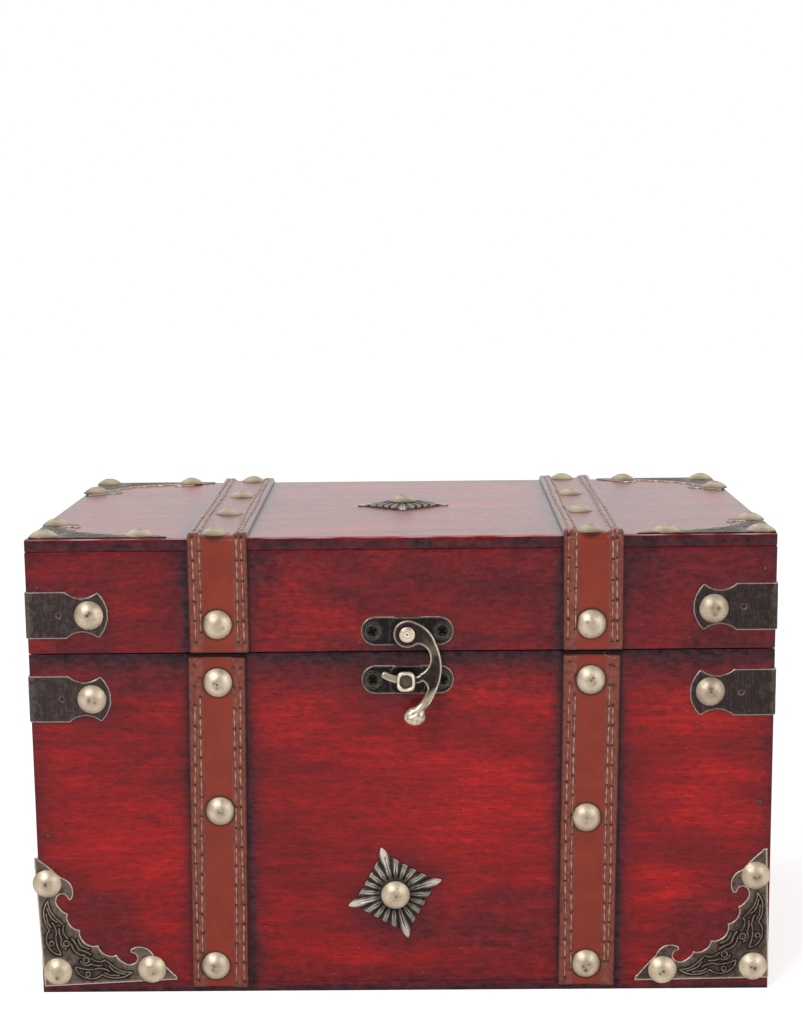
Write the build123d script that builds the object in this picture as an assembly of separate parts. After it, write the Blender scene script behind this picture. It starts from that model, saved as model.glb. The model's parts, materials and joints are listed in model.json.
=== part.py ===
from build123d import *
import math
import os

# A small treasure chest: a red wooden box with a hinged lid, two leather straps over it,
# brass studs, pressed corner brackets, edge clips, fluted rosettes and a swing hook latch.
# X runs left to right, Y from the front to the back, Z up. The origin is the middle of
# the underside. Millimetres throughout.

# Wooden box
chest_width = 220.0
chest_depth = 160.0
seam_height = 104.5
lid_height = 34.0
seam_gap = 0.3
wall = 5.0
top_board = 3.8
bottom_board = 3.0
edge_easing = 0.8

# Leather straps
strap_width = 17.0
strap_thickness = 1.8
strap_middle_thickness = 0.7
strap_band_share = 0.24
strap_edge_paring = 0.6
front_strap_leans = (0.85, 0.0)
strap_bracket_gaps = (6.3, 4.9)
strap_seam_gap = 1.3
strap_foot_gap = 1.8

# Domed studs with square nail shanks
stud_radius = 4.2
stud_height = 2.1
stud_seat_clearance = 0.15
stud_side_count = 10
stud_band_count = 2
dome_crown_share = 0.22
nail_side = 1.2
nail_length = 4.2
nail_clearance = 0.05
lid_stud_rise = 8.6
base_stud_drop = 8.8
base_stud_foot = 8.8
base_stud_middle_share = 0.54
top_stud_inset = 4.2
top_stud_count = 4

# How far each hand-set stud sits off its place, in shares of the stud radius: on the front of
# the base from the foot up, left strap then right, and on the brackets the corner stud first
base_strap_nudge_shares = (
    (-0.69, -0.10), (-0.05, 0.05), (0.02, 0),
    (-0.19, -0.10), (-0.21, -0.60), (0.05, 0),
)
lid_strap_nudge_shares = ((0.09, -0.02), (0.07, -0.19))
base_bracket_nudge_shares = (
    (0.07, -0.07), (0.12, -0.19), (-0.19, -0.25),
    (0.07, -0.02), (0.05, -0.24), (0, -0.29),
)
top_bracket_nudge_shares = (
    (0, 0), (-0.06, 0), (-0.13, 0),
    (0, 0.06), (0, -0.08), (0, -0.10),
    (0, 0), (-0.20, 0), (-0.40, 0),
    (0, -0.19), (0, -0.38), (0, 0),
)

# Edge clips, each bent round an upright edge near the seam
clip_leg = 24.0
clip_width = 14.0
clip_thickness = 0.8
clip_straight_share = 0.48
clip_waist_share = 0.68
clip_waist_depth = 1.9
clip_flare_share = 0.87
clip_stud_share = 0.765
clip_hole_share = 0.39
clip_hole_radius = 1.0
clip_hole_side_count = 6
clip_waist_step_count = 3
clip_end_step_count = 4
lid_clip_rise = 11.6
base_clip_drop = 13.5

# Corner brackets, a pressed sheet with two scalloped legs
bracket_leg = 40.2
bracket_thickness = 0.4
bracket_corner_stud_share = 0.096
bracket_leg_stud_share = 0.805
bracket_side_inset = 0.7
bracket_lift = 3.0
bracket_top_insets = (1.2, 0.3, 1.2, 1.2)
left_bracket_turn = 2.2
right_bracket_turn = 1.3
bracket_shoulder_shares = ((1, 0), (0.953, 0.070), (0.850, 0.165))
bracket_fin_shares = ((0.850, 0.165), (0.768, 0.252), (0.674, 0.245))
bracket_claw_shares = ((0.674, 0.245), (0.660, 0.222), (0.681, 0.206))
bracket_notch_shares = ((0.681, 0.206), (0.711, 0.164), (0.686, 0.124))
bracket_first_bay_shares = ((0.686, 0.124), (0.617, 0.130), (0.547, 0.202))
bracket_second_bay_shares = ((0.547, 0.202), (0.470, 0.206), (0.420, 0.286))
bracket_corner_bay_share = 0.312
bracket_arc_step_count = 3

# Fluted rosettes
rosette_radius = 14.7
rosette_point_count = 4
rosette_flute_count = 5
rosette_lobe_share = 0.965
rosette_valley_share = 0.87
rosette_crown_share = 0.34
rosette_edge = 0.5
rosette_height = 1.6
front_rosette_x_share = -0.011
front_rosette_height = 30.5
front_rosette_turn = 15.0

# Latch plates and their screws
latch_x_share = 0.0087
hook_plate_rise = 6.2
catch_plate_drop = 8.3
plate_length = 27.4
plate_width = 8.5
plate_thickness = 0.8
plate_end_step_count = 8
boss_length = 10.5
boss_taper = 25.0
pivot_boss = 1.5
catch_boss = 1.2
screw_spacing = 20.6
screw_head_radius = 2.35
screw_head_side_count = 12
screw_sink = 0.45
screw_proud = 0.2
screw_shank_radius = 0.8
screw_length = 4.0
screw_side_count = 6
recess_length = 2.8
recess_width = 0.5
recess_depth = 0.4
screw_clearance = 0.05

# Swing hook, its rivet and the catch post
pivot_drop = 0.6
hook_thickness = 1.8
hook_clearance = 0.1
eye_radius = 4.1
eye_side_count = 24
rivet_radius = 1.1
rivet_clearance = 0.06
rivet_depth = 2.0
rivet_head_radius = 2.4
rivet_head_height = 1.2
rivet_side_count = 14
rivet_band_count = 2
hook_bow = 10.1
hook_drop = 24.0
hook_arc_step_count = 5
tongue_width = 1.9
tongue_lift = 0.2
tongue_start = 14.0
tongue_end = -28.5
tongue_tip_side_count = 12
tail_radius = 2.7
tail_side_count = 16
tail_offset_share = 0.07
tail_thickness = 3.0
tail_clearance = 0.3
tail_rise_start_share = 0.66
tail_rise_end_share = 0.84
tail_bend_step_count = 4
post_offset = 0.5
post_width = 5.6
post_height = 6.3
post_corner = 1.6
post_thickness = 1.2
post_dish_radius = 1.9
post_dish_depth = 0.3
post_dish_side_count = 12
post_gap = 0.4
neck_radius = 0.8
neck_clearance = 0.25
neck_side_count = 12
neck_depth = 2.0
hook_outer_arc_shares = (
    ((0, 0.165), (0.465, 0.101), (0.842, -0.117)),
    ((0.842, -0.117), (1.000, -0.387), (0.871, -0.677)),
    ((0.871, -0.677), (0.713, -0.798), (0.426, -0.952)),
)
hook_inner_arc_shares = (((0.356, -0.109), (0.658, -0.270), (0.356, -0.492)),)
hook_under_arc_shares = (
    ((0.277, -0.577), (0.495, -0.609), (0.564, -0.685)),
    ((0.564, -0.685), (0.386, -0.810), (0, -0.903)),
)

# Back hinges
hinge_strap_gap = 4.8
hinge_width = 22.0
hinge_leaf_height = 14.0
hinge_leaf_thickness = 0.9
hinge_leaf_corner = 2.5
knuckle_radius = 1.7
knuckle_side_count = 12
knuckle_gap = 0.15
knuckle_end_gap = 0.2
middle_knuckle_share = 0.44
pin_radius = 0.8
pin_clearance = 0.05
ear_thickness = 0.9
ear_inner = 2.2
ear_reach = 7.0
ear_root = 10.0
lid_opening = 100.0
stop_play = 0.6
hinge_screw_spacing = 12.0
hinge_screw_drop = 8.5
hinge_screw_head_radius = 1.8

# Thin pins that hold the front and back panels to the side panels
pin_head_radius = 0.65
pin_head_height = 0.25
pin_head_side_count = 8
panel_pin_side = 0.8
panel_pin_length = 12.0
panel_pin_inset_share = 0.68
base_pin_shares = (0.471, 0.556)
lid_pin_shares = (0.585, 0.700)

# How far a cutting shape runs past the face that it cuts
overrun = 1.0

# Heights and places that follow from the sizes above
base_top = seam_height - seam_gap / 2
lid_bottom = seam_height + seam_gap / 2
chest_height = seam_height + lid_height
lid_board_bottom = chest_height - top_board
strap_insets = [bracket_side_inset + bracket_leg + gap + strap_width / 2
                for gap in strap_bracket_gaps]
strap_xs = (strap_insets[0] - chest_width / 2, chest_width / 2 - strap_insets[1])
hinge_inset = strap_width / 2 + hinge_strap_gap + hinge_width / 2
hinge_xs = (strap_xs[0] + hinge_inset, strap_xs[1] - hinge_inset)
latch_x = latch_x_share * chest_width
hook_plate_z = seam_height + hook_plate_rise
catch_plate_z = seam_height - catch_plate_drop
pivot_z = hook_plate_z - pivot_drop
hook_back = pivot_boss + hook_clearance
hook_front = hook_back + hook_thickness
post_back = hook_front + post_gap
post_front = post_back + post_thickness
tail_back = post_front + tail_clearance
tail_front = tail_back + tail_thickness
tongue_radius = pivot_z - catch_plate_z - tongue_lift
neck_drop = tongue_radius + tongue_width / 2 + neck_clearance + neck_radius
hinge_axis_out = knuckle_radius + knuckle_gap
barrel_half = hinge_width / 2 - ear_thickness - knuckle_end_gap
middle_half = barrel_half * middle_knuckle_share

# Frames on the outer faces: first coordinate to the right as seen from outside, second up
# or back, third outwards
front_face = Plane(origin=(0, -chest_depth / 2, 0), x_dir=(1, 0, 0), z_dir=(0, -1, 0)).location
back_face = Plane(origin=(0, chest_depth / 2, 0), x_dir=(-1, 0, 0), z_dir=(0, 1, 0)).location
top_face = Plane(origin=(0, 0, chest_height), x_dir=(1, 0, 0), z_dir=(0, 0, 1)).location
latch_front = front_face * Pos(latch_x, 0, 0)

# Frames at the four upright corners, each with its legs along local X and Y
corner_frames = (
    Pos(-chest_width / 2, -chest_depth / 2, 0),
    Pos(chest_width / 2, -chest_depth / 2, 0) * Rot(0, 0, 90),
    Pos(chest_width / 2, chest_depth / 2, 0) * Rot(0, 0, 180),
    Pos(-chest_width / 2, chest_depth / 2, 0) * Rot(0, 0, 270),
)
corner_names = ("front_left", "front_right", "back_right", "back_left")
clip_faces = (
    Plane(origin=(0, 0, 0), x_dir=(1, 0, 0), z_dir=(0, -1, 0)).location,
    Plane(origin=(0, 0, 0), x_dir=(0, 1, 0), z_dir=(-1, 0, 0)).location,
)


def block(x_range, y_range, z_range):
    """A box between three pairs of limits."""
    size = [high - low for low, high in (x_range, y_range, z_range)]
    middle = [(low + high) / 2 for low, high in (x_range, y_range, z_range)]
    return Pos(*middle) * Box(*size)


def scaled(shares, across, up):
    """Outline points from shares of a width and a height."""
    return [(share_across * across, share_up * up) for share_across, share_up in shares]


def arc_points(points, steps):
    """Points in equal steps along the arc through three points."""
    arc = ThreePointArc(*points)
    return [arc @ (step / steps) for step in range(steps + 1)]


def outline_face(points):
    """A face inside a closed outline; points that repeat the one before are left out."""
    kept = [Vector(*points[0])]
    for point in points[1:]:
        if (Vector(*point) - kept[-1]).length > nail_clearance:
            kept.append(Vector(*point))
    return make_face(Polyline(*kept, close=True))


def stacked(rings):
    """A solid of flat facets between rings of as many points each, closed at both ends."""
    faces = [Face(Wire.make_polygon(rings[0])), Face(Wire.make_polygon(rings[-1]))]
    for lower, upper in zip(rings, rings[1:]):
        for here, before in zip(range(len(lower)), range(-1, len(lower) - 1)):
            corners = [lower[before], lower[here], upper[here], upper[before]]
            faces.append(Face(Wire.make_polygon(corners)))
    return Part() + Solid(Shell(faces))


def polygon_ring(radius, sides, height):
    """The corners of a regular polygon at one height."""
    turns = [2 * math.pi * number / sides for number in range(sides)]
    return [(radius * math.cos(turn), radius * math.sin(turn), height) for turn in turns]


def polygon_bore(radius, sides, length):
    """A many-sided bore along Z whose flats clear a round pin of the given radius."""
    return extrude(RegularPolygon(radius, sides, major_radius=False), length / 2, both=True)


# Studs, pins and screws

def dome(radius, height, sides, bands):
    """A faceted spherical cap that stands on its flat side, with a small flat crown."""
    ball = (radius**2 + height**2) / (2 * height)
    rim_angle = math.asin(radius / ball)
    rings = []
    for band in range(bands + 1):
        angle = rim_angle * (1 - (1 - dome_crown_share) * band / bands)
        level = height - ball * (1 - math.cos(angle))
        rings.append(polygon_ring(ball * math.sin(angle), sides, level))
    return stacked(rings)


def shank(side, length):
    """A square nail shank that hangs from the origin."""
    return Pos(0, 0, -length / 2) * Box(side, side, length)


def nail_hole(side, length):
    """The hole for a square shank, open above its head's seat."""
    wide = side + 2 * nail_clearance
    deep = length + nail_clearance + overrun
    return Pos(0, 0, overrun - deep / 2) * Box(wide, wide, deep)


def studs(places):
    """One domed stud at each place, as separate solids."""
    stud = dome(stud_radius, stud_height, stud_side_count, stud_band_count) + shank(nail_side, nail_length)
    return Compound([place * stud for place in places])


def stud_holes(places):
    return [place * nail_hole(nail_side, nail_length) for place in places]


def panel_pins(places):
    head = extrude(RegularPolygon(pin_head_radius, pin_head_side_count), pin_head_height)
    pin = head + shank(panel_pin_side, panel_pin_length)
    return Compound([place * pin for place in places])


def pin_holes(places):
    return [place * nail_hole(panel_pin_side, panel_pin_length) for place in places]


def screws(places, head_radius):
    """Flush screws with a crossed recess, as separate solids."""
    head = Pos(0, 0, -screw_sink) * extrude(RegularPolygon(head_radius, screw_head_side_count),
                                            screw_sink + screw_proud)
    stem = extrude(RegularPolygon(screw_shank_radius, screw_side_count), -screw_length)
    slot = Pos(0, 0, screw_proud) * Box(recess_length, recess_width, 2 * recess_depth)
    screw = head + stem - slot - Rot(0, 0, 90) * slot
    return Compound([place * screw for place in places])


def screw_holes(places, head_radius):
    """A sink for each head and a hole for each stem."""
    sink = RegularPolygon(head_radius + screw_clearance, screw_head_side_count)
    head = Pos(0, 0, -screw_sink) * extrude(sink, screw_sink + overrun)
    stem = extrude(RegularPolygon(screw_shank_radius + screw_clearance, screw_side_count),
                   -(screw_length + screw_clearance))
    return [place * (head + stem) for place in places]


# Places of the studs, pins and screws

def nudged(places, shares):
    """Places moved in their own planes by shares of the stud radius."""
    return [place * Pos(across * stud_radius, up * stud_radius, 0)
            for place, (across, up) in zip(places, shares)]


def strap_places(face, heights):
    """Stud seats on the straps of an upright face."""
    side = 1 if face is front_face else -1
    return [face * Pos(side * x, height, strap_middle_thickness)
            for x in strap_xs for height in heights]


def top_strap_places():
    run = chest_depth / 2 - top_stud_inset
    steps = [run * (2 * number / (top_stud_count - 1) - 1) for number in range(top_stud_count)]
    return [top_face * Pos(x, step, strap_middle_thickness) for x in strap_xs for step in steps]


def clip_stud_places(corners, height):
    return [corner * Pos(0, 0, height) * leg * Pos(clip_stud_share * clip_leg, 0, clip_thickness)
            for corner in corners for leg in clip_faces]


def bracket_stud_places(frames):
    near = bracket_corner_stud_share * bracket_leg
    far = bracket_leg_stud_share * bracket_leg
    return [frame * Pos(u, v, bracket_thickness) for frame in frames
            for u, v in ((near, near), (far, near), (near, far))]


def panel_pin_places(low, high, shares):
    """Pins near both ends of the front and back panels, each at its own share of the height."""
    across = chest_width / 2 - panel_pin_inset_share * wall
    return [face * Pos(side * across, low + share * (high - low), 0)
            for face in (front_face, back_face) for side, share in zip((-1, 1), shares)]


def latch_screw_places(height):
    return [latch_front * Pos(side * screw_spacing / 2, height, plate_thickness)
            for side in (-1, 1)]


def hinge_frames():
    """Frames on the back face, at the seam, one for each hinge."""
    return [back_face * Pos(-x, seam_height, 0) for x in hinge_xs]


def hinge_screw_places(up):
    return [frame * Pos(side * hinge_screw_spacing / 2, up * hinge_screw_drop, hinge_leaf_thickness)
            for frame in hinge_frames() for side in (-1, 1)]


lid_strap_heights = [seam_height + lid_stud_rise]
base_strap_heights = [base_stud_foot, base_stud_middle_share * seam_height, seam_height - base_stud_drop]
lid_clip_z = seam_height + lid_clip_rise
base_clip_z = seam_height - base_clip_drop

base_bracket_frames = (
    front_face * Pos(-chest_width / 2 + bracket_side_inset, bracket_lift, 0)
    * Rot(0, 0, left_bracket_turn),
    front_face * Pos(chest_width / 2 - bracket_side_inset, bracket_lift, 0)
    * Rot(0, 0, 90 + right_bracket_turn),
)
top_bracket_frames = tuple(
    Pos(0, 0, chest_height) * corner * Pos(inset, inset, 0)
    for corner, inset in zip(corner_frames, bracket_top_insets)
)
rosette_frames = (
    top_face,
    front_face * Pos(front_rosette_x_share * chest_width, front_rosette_height, 0)
    * Rot(0, 0, front_rosette_turn),
)

front_lid_studs = nudged(strap_places(front_face, lid_strap_heights), lid_strap_nudge_shares)
back_lid_studs = strap_places(back_face, lid_strap_heights)
top_lid_studs = top_strap_places()
front_base_studs = nudged(strap_places(front_face, base_strap_heights), base_strap_nudge_shares)
back_base_studs = strap_places(back_face, base_strap_heights)
lid_clip_places = clip_stud_places(corner_frames, lid_clip_z)
base_clip_places = clip_stud_places(corner_frames, base_clip_z)
top_bracket_places = nudged(bracket_stud_places(top_bracket_frames), top_bracket_nudge_shares)
base_bracket_places = nudged(bracket_stud_places(base_bracket_frames), base_bracket_nudge_shares)
rosette_places = [frame * Pos(0, 0, rosette_height) for frame in rosette_frames]
lid_pin_places = panel_pin_places(seam_height, chest_height, lid_pin_shares)
base_pin_places = panel_pin_places(0, seam_height, base_pin_shares)
hook_screw_places = latch_screw_places(hook_plate_z)
catch_screw_places = latch_screw_places(catch_plate_z)


# Wooden panels

def upright_panels(low, high):
    """Front, back, left and right panels; the front and back ones cover the side ones' ends."""
    half_x = chest_width / 2
    half_y = chest_depth / 2
    inner_y = half_y - wall
    heights = (low, high)
    front = block((-half_x, half_x), (-half_y, -inner_y), heights)
    front = chamfer(front.edges().filter_by(Axis.Z).group_by(Axis.Y)[0], edge_easing)
    back = block((-half_x, half_x), (inner_y, half_y), heights)
    back = chamfer(back.edges().filter_by(Axis.Z).group_by(Axis.Y)[-1], edge_easing)
    left = block((-half_x, wall - half_x), (-inner_y, inner_y), heights)
    right = block((half_x - wall, half_x), (-inner_y, inner_y), heights)
    return front, back, left, right


def level_board(low, high):
    """A board as large as the chest, with eased upright edges."""
    board = block((-chest_width / 2, chest_width / 2), (-chest_depth / 2, chest_depth / 2), (low, high))
    return chamfer(board.edges().filter_by(Axis.Z), edge_easing)


def base_panels():
    front, back, left, right = upright_panels(bottom_board, base_top)
    pins = pin_holes(base_pin_places)
    clips = stud_holes(base_clip_places)
    latch = screw_holes(catch_screw_places, screw_head_radius) + [post_hole()]
    face_studs = stud_holes(front_base_studs + base_bracket_places + rosette_places[1:])
    hinges = screw_holes(hinge_screw_places(-1), hinge_screw_head_radius)
    return {
        "base_front_panel": front - (pins + clips + latch + face_studs),
        "base_back_panel": back - (pins + clips + hinges + stud_holes(back_base_studs)),
        "base_left_panel": left - (pins + clips),
        "base_right_panel": right - (pins + clips),
        "base_bottom_board": level_board(0, bottom_board),
    }


def lid_panels():
    front, back, left, right = upright_panels(lid_bottom, lid_board_bottom)
    board = level_board(lid_board_bottom, chest_height)
    board = chamfer(board.faces().sort_by(Axis.Z)[-1].edges(), edge_easing)
    pins = pin_holes(lid_pin_places)
    clips = stud_holes(lid_clip_places)
    latch = screw_holes(hook_screw_places, screw_head_radius) + [rivet_hole()]
    hinges = screw_holes(hinge_screw_places(1), hinge_screw_head_radius)
    top_studs_all = stud_holes(top_lid_studs + top_bracket_places + rosette_places[:1])
    return {
        "lid_top_board": board - top_studs_all,
        "lid_front_panel": front - (pins + clips + latch + stud_holes(front_lid_studs)),
        "lid_back_panel": back - (pins + clips + hinges + stud_holes(back_lid_studs)),
        "lid_left_panel": left - (pins + clips),
        "lid_right_panel": right - (pins + clips),
    }


# Leather straps

def strap_section():
    """A thin middle between two thicker stitched bands with pared edges; outwards is local +Y."""
    section = Rectangle(strap_width, strap_thickness)
    section = chamfer(section.vertices().group_by(Axis.Y)[-1], strap_edge_paring)
    sunk = 2 * (strap_thickness - strap_middle_thickness)
    middle = Rectangle(strap_width * (1 - 2 * strap_band_share), sunk)
    return section - Pos(0, strap_thickness / 2) * middle


def seated(strap, places):
    """A strap with a nail hole and a pressed seat for each of its studs."""
    seat = extrude(RegularPolygon(stud_radius + stud_seat_clearance, stud_side_count), strap_thickness)
    return strap - [place * seat for place in places] - stud_holes(places)


def lid_strap(x):
    """A strap from the lid's front edge over the top board to its back edge, flat on its easing."""
    middle = strap_thickness / 2
    out = chest_depth / 2 + middle
    mitre = middle * math.tan(math.pi / 8)
    climb = chest_height - edge_easing + mitre
    turn = chest_depth / 2 - edge_easing + mitre
    top = chest_height + middle
    path = Polyline((x, -out, lid_bottom), (x, -out, climb), (x, -turn, top), (x, turn, top),
                    (x, out, climb), (x, out, lid_bottom))
    start = Plane(origin=path @ 0, x_dir=(-1, 0, 0), z_dir=(0, 0, 1))
    strap = sweep(start * strap_section(), path, transition=Transition.RIGHT)
    return seated(strap, front_lid_studs + back_lid_studs + top_lid_studs)


def base_strap(face, u, lean, places):
    """A strap down the base from just below the seam, leaning a little about its top end."""
    length = seam_height - strap_seam_gap - strap_foot_gap
    hanging = extrude(Plane.XZ * Pos(0, strap_thickness / 2) * strap_section(), length)
    place = face * Pos(u, seam_height - strap_seam_gap, 0) * Rot(0, 0, -lean)
    return seated(place * hanging, places)


def straps():
    left_x, right_x = strap_xs
    return {
        "lid_strap_left": lid_strap(left_x),
        "lid_strap_right": lid_strap(right_x),
        "base_front_strap_left": base_strap(front_face, left_x, front_strap_leans[0], front_base_studs),
        "base_front_strap_right": base_strap(front_face, right_x, front_strap_leans[1], front_base_studs),
        "base_back_strap_left": base_strap(back_face, -left_x, 0, back_base_studs),
        "base_back_strap_right": base_strap(back_face, -right_x, 0, back_base_studs),
    }


# Edge clips

def clip_outline():
    """One leg: a straight band, a waist on each side and a flared end with a bowed edge."""
    half = clip_width / 2
    straight = clip_straight_share * clip_leg
    flare = clip_flare_share * clip_leg
    waist = clip_waist_share * clip_leg
    upper = arc_points([(straight, half), (waist, half - clip_waist_depth), (flare, half)],
                       clip_waist_step_count)
    end = arc_points([(flare, half), (clip_leg, 0), (flare, -half)], clip_end_step_count)
    lower = arc_points([(flare, -half), (waist, clip_waist_depth - half), (straight, -half)],
                       clip_waist_step_count)
    band = outline_face([(edge_easing, half), *upper, *end, *lower, (edge_easing, -half)])
    hole = Pos(clip_hole_share * clip_leg, 0) * RegularPolygon(clip_hole_radius, clip_hole_side_count)
    return band - hole


def edge_clip():
    """Two legs joined by a bend that follows the eased edge."""
    legs = [leg * extrude(clip_outline(), clip_thickness) for leg in clip_faces]
    corner = [(edge_easing, 0), (edge_easing, -clip_thickness), (-clip_thickness, edge_easing),
              (0, edge_easing)]
    bend = extrude(outline_face(corner), clip_width / 2, both=True)
    return legs[0] + legs[1] + bend


def edge_clips(prefix, height, places):
    """One clip at each upright corner, with its nail holes."""
    clip = edge_clip()
    holes = stud_holes(places)
    return {f"{prefix}_{corner}_edge_clip": frame * Pos(0, 0, height) * clip - holes
            for corner, frame in zip(corner_names, corner_frames)}


def clips():
    return {**edge_clips("lid", lid_clip_z, lid_clip_places),
            **edge_clips("base", base_clip_z, base_clip_places)}


# Corner brackets

def bracket_side(flip):
    """The points of one leg, from its tip to the bay in the corner."""
    points = []
    for shares in (bracket_shoulder_shares, bracket_fin_shares, bracket_claw_shares,
                   bracket_notch_shares, bracket_first_bay_shares, bracket_second_bay_shares):
        points += arc_points(scaled(shares, bracket_leg, bracket_leg), bracket_arc_step_count)
    return [(point.Y, point.X) for point in reversed(points)] if flip else points


def bracket_sheet():
    """Both legs, mirrored in the diagonal, with a bay between their inner cusps."""
    cusp = bracket_second_bay_shares[-1]
    bay_shares = (cusp, (bracket_corner_bay_share, bracket_corner_bay_share), (cusp[1], cusp[0]))
    bay = arc_points(scaled(bay_shares, bracket_leg, bracket_leg), bracket_arc_step_count)
    return extrude(outline_face([(0, 0), *bracket_side(False), *bay, *bracket_side(True)]),
                   bracket_thickness)


def brackets():
    pieces = {}
    for name, frame in zip(corner_names, top_bracket_frames):
        pieces[f"lid_{name}_corner_bracket"] = frame * bracket_sheet() - stud_holes(top_bracket_places)
    for name, frame in zip(("left", "right"), base_bracket_frames):
        pieces[f"base_{name}_corner_bracket"] = frame * bracket_sheet() - stud_holes(base_bracket_places)
    return pieces


# Rosettes

def rosette_ring(scale, height):
    """A square on its point whose sides are cut into flutes, ridge and valley in turn."""
    ridges = rosette_point_count * rosette_flute_count
    quarter = 2 * math.pi / rosette_point_count
    points = []
    for number in range(2 * ridges):
        angle = math.pi * number / ridges
        side = math.cos(quarter / 2) / math.cos(angle % quarter - quarter / 2)
        is_tip = number % (2 * rosette_flute_count) == 0
        share = rosette_lobe_share if number % 2 == 0 else rosette_valley_share
        reach = scale * rosette_radius * (1 if is_tip else share * side)
        points.append((reach * math.cos(angle), reach * math.sin(angle), height))
    return points


def rosette(frame, place):
    """A thin rim that climbs in flutes to a small flat crown under the stud."""
    body = stacked([rosette_ring(1, 0), rosette_ring(1, rosette_edge),
                    rosette_ring(rosette_crown_share, rosette_height)])
    return frame * body - stud_holes([place])


def rosettes():
    names = ("lid_rosette", "base_rosette")
    return {name: rosette(*pair) for name, pair in zip(names, zip(rosette_frames, rosette_places))}


# Latch

def latch_plate(boss, places, height):
    """A plate with round ends, a raised middle and two sunk screw holes."""
    half = plate_width / 2
    straight = plate_length / 2 - half
    right = arc_points([(straight, -half), (plate_length / 2, 0), (straight, half)], plate_end_step_count)
    left = [(-point.X, -point.Y) for point in right]
    plate = extrude(outline_face([*right, *left]), plate_thickness)
    rise = extrude(Rectangle(boss_length, plate_width), boss - plate_thickness, taper=boss_taper)
    plate = latch_front * Pos(0, height, 0) * (plate + Pos(0, 0, plate_thickness) * rise)
    return plate - screw_holes(places, screw_head_radius)


def rivet_hole():
    """The rivet's hole through the hook plate into the lid."""
    deep = rivet_depth + nail_clearance
    return latch_front * Pos(0, pivot_z, -deep) * extrude(
        RegularPolygon(rivet_radius + nail_clearance, rivet_side_count, major_radius=False),
        deep + hook_back)


def post_hole():
    """The post's hole through the catch plate into the base."""
    deep = neck_depth + nail_clearance
    return latch_front * Pos(-post_offset, pivot_z - neck_drop, -deep) * extrude(
        RegularPolygon(neck_radius + nail_clearance, neck_side_count), deep + post_back)


def pivot_rivet():
    """A headed rivet through the hook's eye and the plate into the lid."""
    seat = hook_front + hook_clearance
    stem = Cylinder(rivet_radius, seat + rivet_depth, align=(Align.CENTER, Align.CENTER, Align.MAX))
    head = dome(rivet_head_radius, rivet_head_height, rivet_side_count, rivet_band_count)
    return latch_front * Pos(0, pivot_z, seat) * (stem + head)


def hook_arcs(arcs):
    """Points along arcs given in shares of the hook's bow and drop."""
    return [point for shares in arcs
            for point in arc_points(scaled(shares, hook_bow, hook_drop), hook_arc_step_count)]


def arm_face():
    """The curved arm between the eye and the tail, widest where the tongue leaves it."""
    tail = (tail_offset_share * hook_drop, -hook_drop)
    inner = [*hook_arcs(hook_inner_arc_shares), *hook_arcs(hook_under_arc_shares)]
    return outline_face([*hook_arcs(hook_outer_arc_shares), tail, *reversed(inner), (0, 0)])


def tongue_face():
    """A band bent round the pivot, with a rounded free end."""
    turns = [math.radians(turn - 90) for turn in
             (tongue_start, (tongue_start + tongue_end) / 2, tongue_end)]

    def arc(radius):
        return [(radius * math.cos(turn), radius * math.sin(turn)) for turn in turns]

    outer = arc_points(arc(tongue_radius + tongue_width / 2), hook_arc_step_count)
    inner = arc_points(arc(tongue_radius - tongue_width / 2), hook_arc_step_count)
    tip = Pos(*arc(tongue_radius)[-1]) * RegularPolygon(tongue_width / 2, tongue_tip_side_count)
    return outline_face([*outer, *reversed(inner)]) + tip


def hook_side():
    """The side view: flat from the eye to the tongue, then bent outwards past the post."""
    start = -tail_rise_start_share * hook_drop
    end = -tail_rise_end_share * hook_drop
    foot = -hook_drop - tail_radius - overrun
    head = eye_radius + overrun

    def bend(low, high):
        turns = [math.pi * step / tail_bend_step_count for step in range(tail_bend_step_count + 1)]
        return [(low + (high - low) * (1 - math.cos(turn)) / 2,
                 start + (end - start) * turn / math.pi) for turn in turns]

    outer = [*bend(hook_front, tail_front), (tail_front, foot)]
    inner = [(hook_back, head), *bend(hook_back, tail_back), (tail_back, foot)]
    return outline_face([(hook_front, head), *outer, *reversed(inner)])


def hook():
    """The front outline cut by the side view, with a round bead for the finger."""
    tail = Pos(tail_offset_share * hook_drop, -hook_drop) * RegularPolygon(tail_radius, tail_side_count)
    outline = RegularPolygon(eye_radius, eye_side_count) + arm_face() + tongue_face() + tail
    outline -= Circle(rivet_radius + rivet_clearance)
    front_view = extrude(outline, tail_front + overrun)
    reach = 2 * (hook_bow + tongue_radius)
    across = Plane(origin=(-reach / 2, 0, 0), x_dir=(0, 0, 1), z_dir=(-1, 0, 0))
    side_view = extrude(across * hook_side(), -reach)
    return latch_front * Pos(0, pivot_z, 0) * (front_view & side_view)


def catch_post():
    """A neck below the tongue and a dished head in front of it."""
    head = extrude(RectangleRounded(post_width, post_height, post_corner), post_thickness)
    dish = Pos(0, 0, post_thickness - post_dish_depth) * extrude(
        RegularPolygon(post_dish_radius, post_dish_side_count), post_dish_depth + overrun)
    neck = extrude(RegularPolygon(neck_radius, neck_side_count), neck_depth + post_back)
    return latch_front * Pos(-post_offset, 0, 0) * (
        Pos(0, pivot_z - neck_drop, -neck_depth) * neck
        + Pos(0, catch_plate_z, post_back) * (head - dish))


def latch():
    return {
        "hook_plate": latch_plate(pivot_boss, hook_screw_places, hook_plate_z) - rivet_hole(),
        "hook_plate_screws": screws(hook_screw_places, screw_head_radius),
        "swing_hook": hook(),
        "pivot_rivet": pivot_rivet(),
        "catch_plate": latch_plate(catch_boss, catch_screw_places, catch_plate_z) - post_hole(),
        "catch_plate_screws": screws(catch_screw_places, screw_head_radius),
        "catch_post": catch_post(),
    }


# Hinges

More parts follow.
